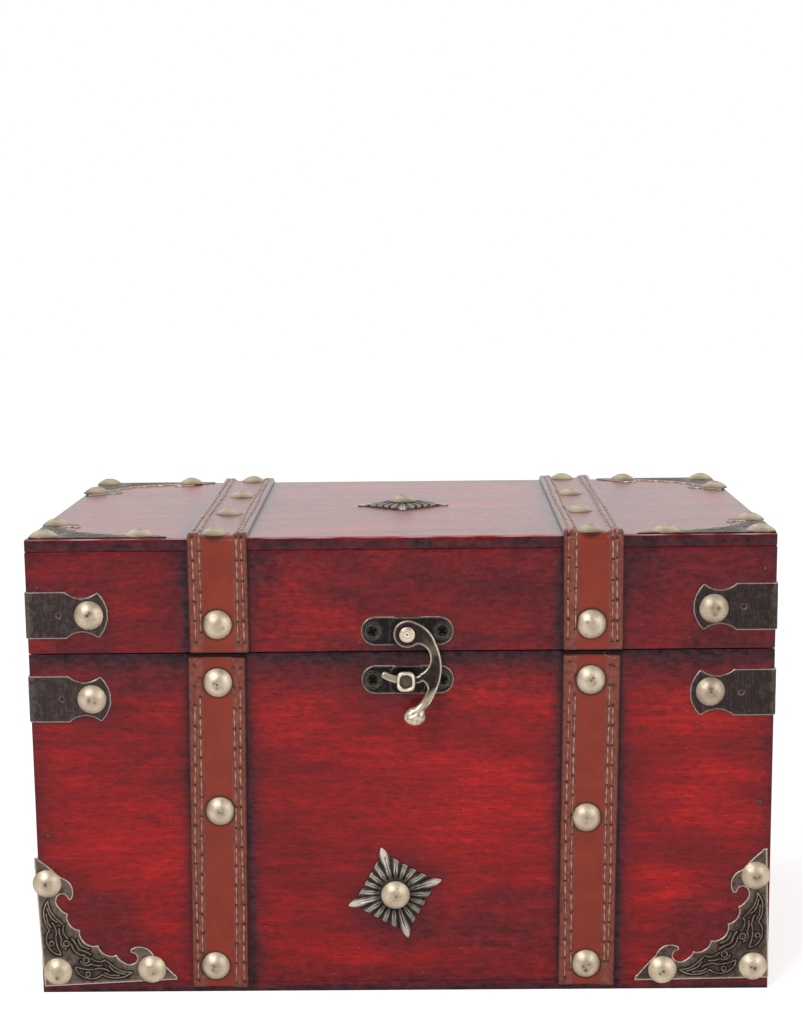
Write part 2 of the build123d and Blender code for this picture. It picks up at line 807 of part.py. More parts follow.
def along_pin(low, high, shape):
    """A shape along Z laid along the hinge pin between two places."""
    return Pos((low + high) / 2, 0, hinge_axis_out) * Rot(0, 90, 0) * shape


def pin_bore(length):
    return polygon_bore(pin_radius + pin_clearance, knuckle_side_count, length)


def knuckle(low, high):
    """A length of barrel along the pin, with its bore."""
    length = high - low
    barrel = extrude(RegularPolygon(knuckle_radius, knuckle_side_count), length / 2, both=True)
    return along_pin(low, high, barrel - pin_bore(length + overrun))


def ear(x_range, up):
    """A tab that stands out from the leaf; its slanted edge meets the other leaf's at full opening."""
    half = math.radians(lid_opening / 2 + stop_play / 2)

    def ray(radius):
        return (hinge_axis_out + radius * math.cos(half), up * radius * math.sin(half))

    outline = [(0, up * ear_inner), ray(ear_inner), ray(ear_reach),
               (hinge_leaf_thickness, up * ear_root), (0, up * ear_root)]
    side = make_face(Polyline(*outline, close=True))
    low, high = x_range
    plane = Plane(origin=(low, 0, 0), x_dir=(0, 0, 1), z_dir=(-1, 0, 0))
    return extrude(plane * side, low - high)


def hinge_leaf(frame, up, knuckles, screws_at):
    """A leaf on the back face with its ears, its knuckles and the strips that reach them."""
    half = hinge_width / 2
    near = knuckle_radius + knuckle_gap
    levels = sorted((up * near, up * hinge_leaf_height))
    leaf = block((-half, half), levels, (0, hinge_leaf_thickness))
    far_edges = leaf.edges().filter_by(Axis.Z).group_by(Axis.Y)[-1 if up > 0 else 0]
    leaf = chamfer(far_edges, hinge_leaf_corner)
    for low, high in knuckles:
        strip = block((low, high), sorted((0, up * near)), (0, hinge_leaf_thickness))
        strip -= along_pin(low, high, pin_bore(hinge_width))
        leaf = leaf + strip + knuckle(low, high)
    for x_range in ((-half, ear_thickness - half), (half - ear_thickness, half)):
        leaf = leaf + ear(x_range, up)
    return frame * leaf - screw_holes(screws_at, hinge_screw_head_radius)


def hinges():
    """Two hinges: the lid leaf holds the middle knuckle, the base leaf the outer two."""
    middle = [(-middle_half, middle_half)]
    outer = [(-barrel_half, -middle_half - knuckle_end_gap), (middle_half + knuckle_end_gap, barrel_half)]
    pieces = {}
    for name, frame in zip(("left", "right"), hinge_frames()):
        pieces[f"hinge_base_leaf_{name}"] = hinge_leaf(frame, -1, outer, hinge_screw_places(-1))
        pieces[f"hinge_lid_leaf_{name}"] = hinge_leaf(frame, 1, middle, hinge_screw_places(1))
        pin = along_pin(-barrel_half, barrel_half, Cylinder(pin_radius, 2 * barrel_half))
        pieces[f"hinge_pin_{name}"] = frame * pin
    pieces["base_hinge_screws"] = screws(hinge_screw_places(-1), hinge_screw_head_radius)
    pieces["lid_hinge_screws"] = screws(hinge_screw_places(1), hinge_screw_head_radius)
    return pieces


def stud_groups():
    return {
        "lid_strap_studs": studs(front_lid_studs + back_lid_studs + top_lid_studs),
        "base_strap_studs": studs(front_base_studs + back_base_studs),
        "lid_clip_studs": studs(lid_clip_places),
        "base_clip_studs": studs(base_clip_places),
        "lid_bracket_studs": studs(top_bracket_places),
        "base_bracket_studs": studs(base_bracket_places),
        "lid_rosette_stud": studs(rosette_places[:1]),
        "base_rosette_stud": studs(rosette_places[1:]),
        "lid_panel_pins": panel_pins(lid_pin_places),
        "base_panel_pins": panel_pins(base_pin_places),
    }


os.makedirs("parts", exist_ok=True)
for group in (base_panels, lid_panels, straps, clips, brackets, rosettes, latch, hinges, stud_groups):
    for node, piece in group().items():
        export_step(piece, f"parts/{node}.step")
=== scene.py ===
import json
import math
from functools import partial

import bmesh
import bpy
import numpy as np
from mathutils import Matrix, Vector


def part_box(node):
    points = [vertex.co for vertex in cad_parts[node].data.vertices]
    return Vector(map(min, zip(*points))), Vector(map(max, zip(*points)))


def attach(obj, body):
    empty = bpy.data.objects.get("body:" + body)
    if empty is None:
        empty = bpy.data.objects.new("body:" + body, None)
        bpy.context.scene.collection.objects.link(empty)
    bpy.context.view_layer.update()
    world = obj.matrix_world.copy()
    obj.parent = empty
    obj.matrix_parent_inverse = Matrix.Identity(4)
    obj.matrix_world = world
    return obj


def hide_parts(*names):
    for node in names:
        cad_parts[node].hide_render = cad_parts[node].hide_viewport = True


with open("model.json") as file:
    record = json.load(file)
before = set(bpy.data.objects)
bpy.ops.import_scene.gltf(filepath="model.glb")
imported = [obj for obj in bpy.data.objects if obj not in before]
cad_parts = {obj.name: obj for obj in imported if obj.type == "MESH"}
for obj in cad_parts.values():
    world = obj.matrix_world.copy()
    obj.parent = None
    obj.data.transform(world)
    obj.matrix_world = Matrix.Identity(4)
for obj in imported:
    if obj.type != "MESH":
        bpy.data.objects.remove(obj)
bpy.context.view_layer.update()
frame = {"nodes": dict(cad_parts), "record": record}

# A small red treasure chest: stained wood, stitched leather straps, domed brass studs, pressed
# corner brackets, bent edge clips, fluted rosettes and a cast swing hook on a riveted plate.
# Sizes are millimetres until a piece's mesh is made. Every piece takes its place from the CAD
# node that it stands for.

MM = 0.001
record = frame["record"]
body_of_node = {node: body for body, nodes in record["behaviour"]["bodies"].items() for node in nodes}
nodes = sorted(frame["nodes"])


def span(node):
    """The lowest and highest corner of a CAD node, in millimetres."""
    return [np.array(corner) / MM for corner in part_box(node)]


def middle_of(node):
    """The middle of a CAD node's box, in millimetres."""
    low, high = span(node)
    return (low + high) / 2


# Sizes of the wooden box, read from its boards, and how round the boards' edges are
half_x, half_y, height = span("lid_top_board")[1]
board_foot = span("lid_top_board")[0][2]
base_top = span("base_front_panel")[1][2]
lid_foot = span("lid_front_panel")[0][2]
seam = (base_top + lid_foot) / 2
wall = span("base_front_panel")[1][1] + half_y
board_rounding, lid_rounding = 0.22, 0.5

# How far apart the points of each kind of grid are
board_step, strap_step, clip_step, bracket_step, plate_step, hook_step = 1.3, 0.42, 0.32, 0.20, 0.24, 0.17

# Straps. Their middle is how thick they are between the two puffed bands. Leans are in degrees
strap_width = 17.0
strap_middle = 0.70
strap_bend = 1.2
stitch_pitch = 6.05
stitch_rows = (1.75, 3.45)
stitch_radius = 0.22
hole_radius = 0.42
front_strap_leans = {"base_front_strap_left": 0.85}
extra_lean = {"base_front_strap_right": 0.7}
extra_shift = {"base_front_strap_right": 0.45}
lid_strap_shifts = {"lid_strap_left": (0.9, -1.6), "lid_strap_right": (0.8, 1.0)}
lid_strap_width = 17.7

# Studs and screws, how far the points of one of them reach from its first point, and how far the
# studs of the two front right clips are moved
plate_screw_radius, plate_screw_reach = 2.12, 8.0
hinge_screw_radius, hinge_screw_reach = 1.78, 6.0
stud_reach, pin_reach = 11.0, 14.0
stud_radius = 4.3
stud_height = 2.1
stud_nudges = {"lid_clip_studs": (0.1, 0.0, 0.55), "base_clip_studs": (-0.55, 0.0, 0.9)}

# Sheet fittings. The two front right clips sit higher and their front legs are longer
clip_leg, clip_width, clip_thickness = 24.0, 14.0, 0.6
clip_rises = {"lid_front_right_edge_clip": 0.95, "base_front_right_edge_clip": 0.5}
clip_stretches = {"lid_front_right_edge_clip": 0.25, "base_front_right_edge_clip": 0.9}
bracket_leg, bracket_thickness = 40.5, 0.4
rosette_radius = 14.7

# Latch
plate_length, plate_width, plate_thickness = 27.4, 8.75, 0.8
plate_hole_place, plate_hole_radius = 10.3, 2.22
boss_length = 10.5
pivot_boss, catch_boss = 1.5, 1.2
hook_back, hook_thickness = 1.6, 1.8
hook_bow, hook_drop = 10.1, 24.0
eye_radius, pivot_hole_radius = 4.1, 1.16
tongue_half_width = 1.1
tail_radius, tail_rise = 2.7, 3.95
post_head_thickness, post_neck_radius = 1.2, 0.7


# ---- Frames, grids and pieces

def flat(origin, right, up, turn=0.0):
    """A flat frame: an origin and three unit vectors, right and up turned by degrees, and out."""
    right, up = np.array(right, float), np.array(up, float)
    cosine, sine = math.cos(math.radians(turn)), math.sin(math.radians(turn))
    across, along = cosine * right + sine * up, cosine * up - sine * right
    return np.array(origin, float), across, along, np.cross(across, along)


def put(place, u, v, w):
    """Points of the frame's coordinates u, v and w, in the chest's coordinates."""
    origin, across, along, out = place
    u, v, w = (part[..., None] for part in np.broadcast_arrays(u, v, w))
    return origin + u * across + v * along + w * out


def face_at(point, out_axis, side):
    """An unturned frame through a point, facing out along an axis of the chest."""
    out = np.zeros(3)
    out[out_axis] = side
    up = np.array([0.0, 1.0, 0.0]) if out_axis == 2 else np.array([0.0, 0.0, 1.0])
    return flat(point, np.cross(up, out), up)


def on_front(x, z, out=0.0, turn=0.0):
    """A frame on the chest's front face, or further out, turned by degrees."""
    return flat((x, -half_y - out, z), (1, 0, 0), (0, 0, 1), turn)


def surface(points, closed=True, **marks):
    """A grid of points, rows by columns, with a quad between each four neighbours. Its columns
    close to a ring, or end at an open edge. Marks are kept between 0 and 1."""
    rows, columns = points.shape[:2]
    row, column = np.meshgrid(np.arange(rows - 1), np.arange(columns if closed else columns - 1),
                              indexing="ij")
    after = (column + 1) % columns
    corners = [(row, column), (row, after), (row + 1, after), (row + 1, column)]
    quads = np.stack([(r * columns + c).ravel() for r, c in corners], -1)
    spread = {key: np.clip(np.broadcast_to(value, points.shape[:2]), 0, 1).ravel()
              for key, value in marks.items()}
    return points.reshape(-1, 3), quads, spread


def gather(shapes):
    """Several shapes as one: points and marks end to end, and quads moved on to match."""
    starts = np.cumsum([0] + [len(points) for points, _, _ in shapes[:-1]])
    keys = sorted({key for _, _, marks in shapes for key in marks})
    points = np.concatenate([shape[0] for shape in shapes])
    quads = np.concatenate([shape[1] + start for shape, start in zip(shapes, starts)])
    marks = {key: np.concatenate([np.asarray(shape[2].get(key, np.zeros(len(shape[0]))), float)
                                  for shape in shapes]) for key in keys}
    return points, quads, marks


def make_piece(name, shapes, material, node, sharp=38.0):
    """A named mesh object at the origin that rides with the CAD node it stands for."""
    points, quads, marks = gather(shapes)
    mesh = bpy.data.meshes.new(name)
    mesh.from_pydata((points * MM).tolist(), [], quads.tolist())
    for key, values in marks.items():
        mesh.attributes.new(key, "FLOAT", "POINT").data.foreach_set("value", values.astype(np.float32))
    shell = bmesh.new()
    shell.from_mesh(mesh)
    bmesh.ops.remove_doubles(shell, verts=shell.verts, dist=2e-6)
    bmesh.ops.recalc_face_normals(shell, faces=shell.faces)
    shell.to_mesh(mesh)
    shell.free()
    mesh.shade_smooth()
    mesh.set_sharp_from_angle(angle=math.radians(sharp))
    mesh.materials.append(material)
    piece = bpy.data.objects.new(name, mesh)
    bpy.context.scene.collection.objects.link(piece)
    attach(piece, body_of_node[node])
    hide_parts(node)


def clusters(node, reach):
    """The CAD node's separate small solids: each is the points within reach of its first one."""
    mesh = frame["nodes"][node].data
    points = np.zeros(len(mesh.vertices) * 3)
    mesh.vertices.foreach_get("co", points)
    points = points.reshape(-1, 3) / MM
    found = []
    while len(points):
        near = np.linalg.norm(points - points[0], axis=1) < reach
        found.append(points[near])
        points = points[~near]
    return found


def seats(node, reach, head):
    """Frames under the heads of a node's studs, pins or screws: the middle of each solid, on the
    side where it stands out of the box, below its top by the height of its head."""
    places = []
    for solid in clusters(node, reach):
        low, high = solid.min(0), solid.max(0)
        beyond = [max(high[0] - half_x, -half_x - low[0]), max(high[1] - half_y, -half_y - low[1]),
                  high[2] - height]
        axis = int(np.argmax(beyond))
        middle = (low + high) / 2
        side = 1.0 if axis == 2 or middle[axis] > 0 else -1.0
        middle[axis] = (high[axis] if side > 0 else low[axis]) - side * head
        places.append(face_at(middle, axis, side))
    return places


# ---- Curves and outlines

def arc(first, middle, last, count=12):
    """Points along the circle through three points: its centre is equally far from all three."""
    a, b, c = (complex(*point) for point in (first, middle, last))
    w = (c - a) / (b - a)
    if abs(w.imag) < 1e-9:
        line = np.linspace(0, 1, count)[:, None]
        return np.array(first) * (1 - line) + np.array(last) * line
    centre = (b - a) * (w - abs(w) ** 2) / (2j * w.imag) + a
    start, middle_turn, end = (np.angle(point - centre) for point in (a, b, c))
    sweep = (end - start) % (2 * math.pi)
    if (middle_turn - start) % (2 * math.pi) > sweep:
        sweep -= 2 * math.pi
    turns = start + sweep * np.linspace(0, 1, count)
    ring = centre + abs(a - centre) * np.exp(1j * turns)
    return np.stack([ring.real, ring.imag], -1)


def arcs(points, across=1.0, along=1.0):
    """A chain of arcs, given by their ends with each one's middle between, in shares of two
    lengths."""
    points = np.array(points) * (across, along)
    return np.concatenate([arc(*points[start:start + 3]) for start in range(0, len(points) - 2, 2)])


def flow(points, count=8):
    """A smooth line through points: a cubic between each two, its slope from their neighbours."""
    points = np.array(points, float)
    ends = np.concatenate([[2 * points[0] - points[1]], points, [2 * points[-1] - points[-2]]])
    t = np.linspace(0, 1, count, endpoint=False)[:, None]
    a, b, c, d = (ends[start:len(ends) - 3 + start, None] for start in range(4))
    line = (b + (c - a) * t / 2 + (a - 2.5 * b + 2 * c - d / 2) * t ** 2
            + (1.5 * (b - c) + (d - a) / 2) * t ** 3)
    return np.concatenate([line.reshape(-1, 2), points[-1:]])


def ring_line(centre, radius):
    """A closed circle of 16 edges."""
    turns = np.linspace(0, 2 * math.pi, 17)
    return np.stack([centre[0] + radius * np.cos(turns), centre[1] + radius * np.sin(turns)], -1)


def from_edges(start, end, u, v):
    """How far each point lies from the nearest of many straight edges."""
    points = np.stack([u.ravel(), v.ravel()], -1)
    edge = end - start
    long = (edge ** 2).sum(-1) + 1e-12
    nearest = np.empty(len(points))
    for first in range(0, len(points), 4000):
        gap = points[first:first + 4000, None] - start
        share = np.clip((gap * edge).sum(-1) / long, 0, 1)
        off = gap - share[..., None] * edge
        nearest[first:first + 4000] = np.sqrt((off ** 2).sum(-1)).min(1)
    return nearest.reshape(u.shape)


def from_lines(lines):
    """How far a point lies from the nearest of several open lines, as a function of u and v."""
    start = np.concatenate([line[:-1] for line in lines])
    end = np.concatenate([line[1:] for line in lines])
    return lambda u, v: from_edges(start, end, u, v)


def outside(outline):
    """How far a point lies outside a closed outline, negative inside, as a function of u and v.
    A point is inside if a ray to the right crosses an odd number of edges."""
    start, end = outline, np.roll(outline, -1, 0)
    rise = end[:, 1] - start[:, 1]
    rise = np.where(np.abs(rise) < 1e-9, 1e-9, rise)

    def distance(u, v):
        gap = from_edges(start, end, u, v)
        level = v.ravel()[:, None]
        crosses = (start[:, 1] > level) != (end[:, 1] > level)
        reach = start[:, 0] + (level - start[:, 1]) / rise * (end[:, 0] - start[:, 0])
        odd = (crosses & (u.ravel()[:, None] < reach)).sum(1) % 2 == 1
        return np.where(odd.reshape(u.shape), -gap, gap)

    return distance


def rounded(depth, radius):
    """How far a rounded edge has fallen at a depth inside the outline: a quarter circle."""
    inner = np.clip(depth, 0, radius)
    return radius - np.sqrt(np.clip(radius ** 2 - (radius - inner) ** 2, 0, None))


def hump(value, width):
    """1 at zero, falling off on both sides with the square of the distance."""
    return np.exp(-(value / width) ** 2)


def fade(value, reach):
    """1 at zero, falling off steadily with the distance."""
    return np.exp(-value / reach)


def smooth_step(value, low, high):
    """0 below low, 1 above high, and a smooth S between them."""
    share = np.clip((value - low) / (high - low), 0, 1)
    return share * share * (3 - 2 * share)


def cut_sheet(lay, distance, reach, step, top, bottom=None, **marks):
    """A closed solid over an outline. Grid cells with a corner inside the outline are kept, their
    outer corners are drawn onto it along its slope, and a wall joins the top and bottom sheets.
    lay(u, v, w) places the points; top, bottom and marks are functions of u, v and depth. Marks
    are kept between 0 and 1."""
    bottom = bottom or (lambda u, v, depth: 0 * u)
    u_line = np.arange(reach[0], reach[1] + step, step)
    v_line = np.arange(reach[2], reach[3] + step, step)
    u, v = np.meshgrid(u_line, v_line, indexing="ij")
    gap = distance(u, v)
    inside = gap < -0.3 * step
    cells = inside[:-1, :-1] | inside[1:, :-1] | inside[1:, 1:] | inside[:-1, 1:]
    used = np.zeros_like(inside)
    for row, column in ((0, 0), (1, 0), (1, 1), (0, 1)):
        used[row:row + cells.shape[0], column:column + cells.shape[1]] |= cells
    rim = used & ~inside
    for _ in range(3):
        here_u, here_v, nudge = u[rim], v[rim], 0.02
        gap_here = distance(here_u, here_v)
        slope_u = (distance(here_u + nudge, here_v) - gap_here) / nudge
        slope_v = (distance(here_u, here_v + nudge) - gap_here) / nudge
        steep = slope_u ** 2 + slope_v ** 2 + 1e-6
        pull = np.clip(gap_here / steep, -step, step)
        u[rim], v[rim] = here_u - pull * slope_u, here_v - pull * slope_v
    u, v = u[used], v[used]
    depth = np.where(rim[used], 0.0, np.clip(-gap[used], 0, None))
    number = np.full(used.shape, -1)
    number[used] = np.arange(used.sum())
    count = used.sum()
    around = [number[:-1, :-1], number[1:, :-1], number[1:, 1:], number[:-1, 1:]]
    quads = np.stack([corner[cells] for corner in around], -1)
    padded = np.pad(cells, 1)
    walls = []
    neighbours = (padded[1:-1, :-2], padded[2:, 1:-1], padded[1:-1, 2:], padded[:-2, 1:-1])
    for side, beyond in enumerate(neighbours):
        open_side = cells & ~beyond
        one, two = around[side][open_side], around[(side + 1) % 4][open_side]
        walls.append(np.stack([two, one, one + count, two + count], -1))
    points = np.concatenate([lay(u, v, top(u, v, depth)), lay(u, v, bottom(u, v, depth))])
    faces = np.concatenate([quads, quads[:, ::-1] + count] + walls)
    spread = {key: np.tile(np.clip(function(u, v, depth), 0, 1), 2) for key, function in marks.items()}
    return points, faces, spread


def circle(sides):
    """Even turns, in radians, that go round once."""
    return np.arange(sides) * 2 * math.pi / sides


def turned(place, profile, sides, **marks):
    """A profile of (radius, height) pairs turned about the frame's outward line."""
    profile = np.array(profile, float)
    turns = circle(sides)
    radius, rise = profile[:, 0][:, None], profile[:, 1][:, None]
    spread = {key: np.array(values, float)[:, None] for key, values in marks.items()}
    return surface(put(place, radius * np.cos(turns), radius * np.sin(turns), rise + 0 * turns),
                   **spread)


# ---- Materials

def linear(code):
    """A hex sRGB colour as linear red, green, blue and alpha."""
    values = [int(code[place:place + 2], 16) / 255 for place in (1, 3, 5)]
    return tuple(v / 12.92 if v <= 0.04045 else ((v + 0.055) / 1.055) ** 2.4 for v in values) + (1.0,)


def node_adder(tree):
    """The function that adds a node to a tree: it sets the node's properties, links or fills its
    inputs, given in order or by name, and returns one of its outputs. A hex code is a colour."""
    def add(kind, inputs=(), out=0, **settings):
        made = tree.nodes.new("ShaderNode" + kind)
        for name, value in settings.items():
            setattr(made, name, value)
        for name, value in inputs.items() if isinstance(inputs, dict) else enumerate(inputs):
            if isinstance(value, bpy.types.NodeSocket):
                tree.links.new(value, made.inputs[name])
            else:
                made.inputs[name].default_value = linear(value) if isinstance(value, str) else value
        return made.outputs[out] if made.outputs else None

    return add


def new_material(name):
    """An empty material and the function that adds nodes to it."""
    material = bpy.data.materials.new(name)
    material.use_nodes = True
    material.node_tree.nodes.clear()
    return material, node_adder(material.node_tree)


def layered(add, colour, *layers):
    """Covers a colour with layers: each is a field, two of its values, the shares of the layer at
    those values, and the layer's colour."""
    for field, low, high, low_share, high_share, paint in layers:
        share = add("MapRange", (field, low, high, low_share, high_share))
        colour = add("Mix", {0: share, 6: colour, 7: paint}, 2, data_type="RGBA")
    return colour


def close_material(add, colour, roughness, relief, strength, depth, **constants):
    """The bump, which is as deep as given in millimetres, the shader and the output. Constants
    are set on the shader's own inputs."""
    bump = add("Bump", {"Height": relief, "Strength": strength, "Distance": depth * MM})
    inputs = {"Base Color": colour, "Roughness": roughness, "Normal": bump}
    inputs.update({key.replace("_", " "): value for key, value in constants.items()})
    add("OutputMaterial", {"Surface": add("BsdfPrincipled", inputs)})


def stained_wood(name, grain_axis):
    """Thin plywood, stained red by hand, rubbed dark along edges and fittings, under a satin varnish. Painted
    shadow darkens it beside the straps, round the rosette and in the gap under the lid straps' ends, and a
    painted highlight runs pale along the top board's front edge. The grain runs level along one axis: soft
    patches 20 to 50 mm long, streaks about 3 mm high, and short dark pores under half a millimetre, with a
    few pale specks of dust."""
    material, add = new_material(name)
    here = add("TexCoord", out="Object")
    fields = []
    for long, cross, detail, rough in ((52, 16, 3, 0.55), (22, 1.7, 4, 0.62), (2.4, 1.3, 4, 0.65),
                                       (2.6, 0.34, 2, 0.55), (6.5, 3.4, 5, 0.65)):
        scale = [1 / (cross * MM)] * 3
        scale[grain_axis] = 1 / (long * MM)
        place = add("Mapping", {"Vector": here, "Scale": scale})
        fields.append(add("TexNoise", {"Vector": place, "Scale": 1.0, "Detail": detail,
                                       "Roughness": rough}))
    patches, streaks, mottle, pores, smudges = fields
    burnish, inside = (add("Attribute", out="Fac", attribute_name=mark)
                       for mark in ("burnish", "inside"))
    tone = add("Math", (streaks, 0.60, patches), operation="MULTIPLY_ADD")
    tone = add("Math", (mottle, 0.40, tone), operation="MULTIPLY_ADD")
    colour = add("ValToRGB", (add("MapRange", (tone, 0.76, 1.24, 0.0, 1.0)),))
    stops = colour.node.color_ramp.elements
    for position in (0.36, 0.68):
        stops.new(position)
    for stop, code in zip(stops, ("#68161A", "#80181B", "#98191B", "#B8201A")):
        stop.color = linear(code)
    smudges = add("MapRange", (smudges, 0.25, 0.75, -0.22, 0.22))
    rub_or_painted_light = add("Math", (burnish, 1.12, smudges), operation="MULTIPLY_ADD")
    dust = add("TexVoronoi", {"Vector": here, "Scale": 1 / (5.0 * MM)})
    # The dark mix stands for stain rubbed dark and for painted shadow; above 1.1 it turns near black as
    # painted shadow in the gap under the lid straps' ends
    rubbed_dark_or_shaded = layered(add, "#170B10", (mottle, 0.36, 0.62, 0, 1, "#40222A"))
    bare = layered(add, "#4B1D18", (streaks, 0.3, 0.7, 0, 1, "#7A3A28"))
    # Below -0.1 the mark gives the pale pink painted highlight along the top board's front edge
    colour = layered(add, colour, (pores, 0.36, 0.52, 0.42, 0, "#43090E"),
                     (rub_or_painted_light, 0.02, 1.1, 0, 1, rubbed_dark_or_shaded), (burnish, 1.1, 1.25, 0, 0.9, "#0A0608"),
                     (dust, 0.020, 0.036, 0.5, 0, "#C08A80"),
                     (burnish, -0.8, -0.1, 0.75, 0, "#C79AA2"), (inside, 0, 1, 0, 1, bare))
    relief = add("Math", (pores, 1.0, mottle), operation="MULTIPLY_ADD")
    close_material(add, colour, add("MapRange", (mottle, 0.3, 0.7, 0.26, 0.38)), relief, 0.25, 0.07,
                   Specular_IOR_Level=0.11, Coat_Weight=0.60, Coat_Roughness=0.24, Coat_IOR=1.25)
    return material


def russet_leather():
    """Finished split leather, drum-dyed russet: smooth and even in the middle, and scuffed and pinkish on the
    two puffed bands, with a close grain under half a millimetre. It is darkest where it is pricked, and in
    the painted contact shadow round each stud."""
    material, add = new_material("russet_leather")
    here = add("TexCoord", out="Object")
    broad, fine, spots = (
        add("TexNoise", {"Vector": here, "Scale": 1 / (size * MM), "Detail": detail, "Roughness": rough})
        for size, detail, rough in ((9.0, 4, 0.6), (1.3, 5, 0.7), (2.4, 3, 0.7)))
    band, stain = (add("Attribute", out="Fac", attribute_name=mark) for mark in ("band", "stain"))
    scuffed = layered(add, "#632A22", (fine, 0.35, 0.66, 0, 1, "#8C4A3B"))
    # The stain mark darkens it to near black: in the pricked holes, along the edges and ends, and as a
    # painted contact shadow round each stud
    colour = layered(add, "#762617", (broad, 0.3, 0.7, 0, 1, "#882F1D"), (band, 0, 1, 0, 1, scuffed),
                     (spots, 0.67, 0.76, 0, 0.6, "#4A1F18"), (stain, 0, 1, 0, 1, "#1C0E0D"))
    grain = add("TexVoronoi", {"Vector": here, "Scale": 1 / (0.5 * MM)})
    close_material(add, colour, add("MapRange", (fine, 0.3, 0.7, 0.27, 0.42)), grain, 0.2, 0.07,
                   Specular_IOR_Level=0.2, Coat_Weight=0.70, Coat_Roughness=0.3, Coat_IOR=1.25)
    return material


def waxed_thread():
    """Waxed tan linen thread, twisted: each ply is about 0.4 mm, drawn as slanting bands."""
    material, add = new_material("waxed_thread")
    plies = add("TexWave", {"Vector": add("TexCoord", out="Object"), "Scale": 1 / (5.2 * MM),
                            "Distortion": 1.5}, "Fac", wave_type="BANDS", bands_direction="DIAGONAL")
    close_material(add, layered(add, "#80503D", (plies, 0, 1, 0, 1, "#B58A71")), 0.55, plies, 0.4, 0.08,
                   Coat_Weight=0.6, Coat_Roughness=0.35, Coat_IOR=1.25)
    return material


def aged_metal(name, dark, bright, patina, roughness, cloudy=0.16, scratch=0.0, speck=1.6,
               metallic=1.0):
    """Plated or bronzed metal: a dark finish that is worn bright, or given painted highlights, where its wear
    mark is high, darkened by stains, patina or painted shade where its stain mark is high, and clouded by
    patina specks of about the given size.
    A scratched one is brushed along its height, with lines about 0.2 mm apart."""
    material, add = new_material(name)
    here = add("TexCoord", out="Object")
    cloud = add("TexNoise", {"Vector": here, "Scale": 1 / (speck * MM), "Detail": 5, "Roughness": 0.62})
    worn, stain = (add("Attribute", out="Fac", attribute_name=mark) for mark in ("worn", "stain"))
    broken = add("MapRange", (cloud, 0.3, 0.7, -cloudy, cloudy))
    rub_or_painted_light = add("Math", (worn, broken), operation="ADD", use_clamp=True)
    colour = layered(add, dark, (rub_or_painted_light, 0, 1, 0, 1, bright), (cloud, 0.56, 0.74, 0, 0.75, patina),
                     (stain, 0, 1, 0, 1, "#120F0D"))
    relief, strength = cloud, 0.2
    if scratch:
        lines = add("Mapping", {"Vector": here, "Scale": [1 / (size * MM) for size in (0.22, 0.22, 5)]})
        relief, strength = add("TexNoise", {"Vector": lines, "Scale": 1.0, "Detail": 3}), 0.08
        colour = layered(add, colour, (relief, 0.52, 0.72, 0, scratch, bright))
    spread = add("MapRange", (cloud, 0.3, 0.7, roughness - 0.07, roughness + 0.12))
    close_material(add, colour, spread, relief, strength, 0.08, Metallic=metallic)
    return material


wood_level = stained_wood("stained_plywood_level", 0)
wood_sides = stained_wood("stained_plywood_sides", 1)
leather = russet_leather()
thread = waxed_thread()
stud_brass = aged_metal("nickelled_brass_studs", "#8A7966", "#E8D7BD", "#6A5942", 0.43, speck=0.9,
                        metallic=0.85)
bracket_metal = aged_metal("pressed_bronzed_sheet", "#4A3C36", "#E9D9C5", "#2E2521", 0.38, 0.12)
rosette_metal = aged_metal("antique_nickel_sheet", "#4A403B", "#EADFD0", "#2D2623", 0.33, 0.12)
clip_metal = aged_metal("brushed_bronzed_strip", "#403535", "#CDBFAE", "#382F2F", 0.42, 0.12, 0.06)
plate_metal = aged_metal("blackened_zinc_casting", "#262223", "#D6C7B4", "#171415", 0.36, 0.06)
hook_metal = aged_metal("browned_zinc_casting", "#33282A", "#EFE0C6", "#2B211E", 0.34, 0.05)
screw_metal = aged_metal("blackened_steel", "#1B1919", "#7C7468", "#121010", 0.38, 0.06)
hinge_metal = aged_metal("bronzed_hinge_steel", "#463E36", "#A39680", "#2B2622", 0.42, scratch=0.2)


# ---- Wooden boards

def board_lines(low, high, radius):
    """Grid lines along one side of a board: close together round both edges, even between."""
    bend = radius * (1 - np.cos(np.linspace(0, math.pi / 2, 4)))
    inner = np.linspace(low + radius, high - radius, max(2, int(round((high - low) / board_step)) + 1))
    return np.concatenate([low + bend[:-1], inner, (high - bend[:-1])[::-1]])


def board(low, high, radius):
    """A box with round edges: each point of a plain box's grid is moved so that it lies the
    radius away from the box that is smaller by that radius on every side."""
    lines = [board_lines(low[axis], high[axis], radius) for axis in range(3)]
    sheets = []
    for axis in range(3):
        first, second = [other for other in range(3) if other != axis]
        a, b = np.meshgrid(lines[first], lines[second], indexing="ij")
        for level in (low[axis], high[axis]):
            points = np.empty(a.shape + (3,))
            points[..., first], points[..., second], points[..., axis] = a, b, level
            core = np.clip(points, low + radius, high - radius)
            out = points - core
            out /= np.linalg.norm(out, axis=-1, keepdims=True)
            sheets.append(surface(core + radius * out, closed=False))
    return gather(sheets)


strap_middles = [middle_of(node)[0] for node in ("lid_strap_left", "lid_strap_right")]
latch_x = middle_of("hook_plate")[0]
rosette_x, _, rosette_z = middle_of("base_rosette_stud")


# How dark the wood is made beside each thing, and how far that reaches in millimetres: stain rubbed dark,
# with painted shadow right of the straps and, mixed with dark stain, along their edges
darkening_beside = {"top edge": (0.75, 2.0), "side edge": (0.6, 4.0), "foot": (1.05, 5.2),
        "below seam": (1.09, 11.5), "above seam": (0.12, 2.0), "right of strap": (1.05, 8.5),
        "strap": (0.85, 1.9), "around strap": (0.30, 6.5), "bracket": (0.5, 5.0), "clip": (0.42, 2.6)}


def rub_or_painted_light(thing, distance):
    """How dark the wood is made at a distance from the thing, by rubbed stain or by painted shadow."""
    share, reach = darkening_beside[thing]
    return share * fade(distance, reach)


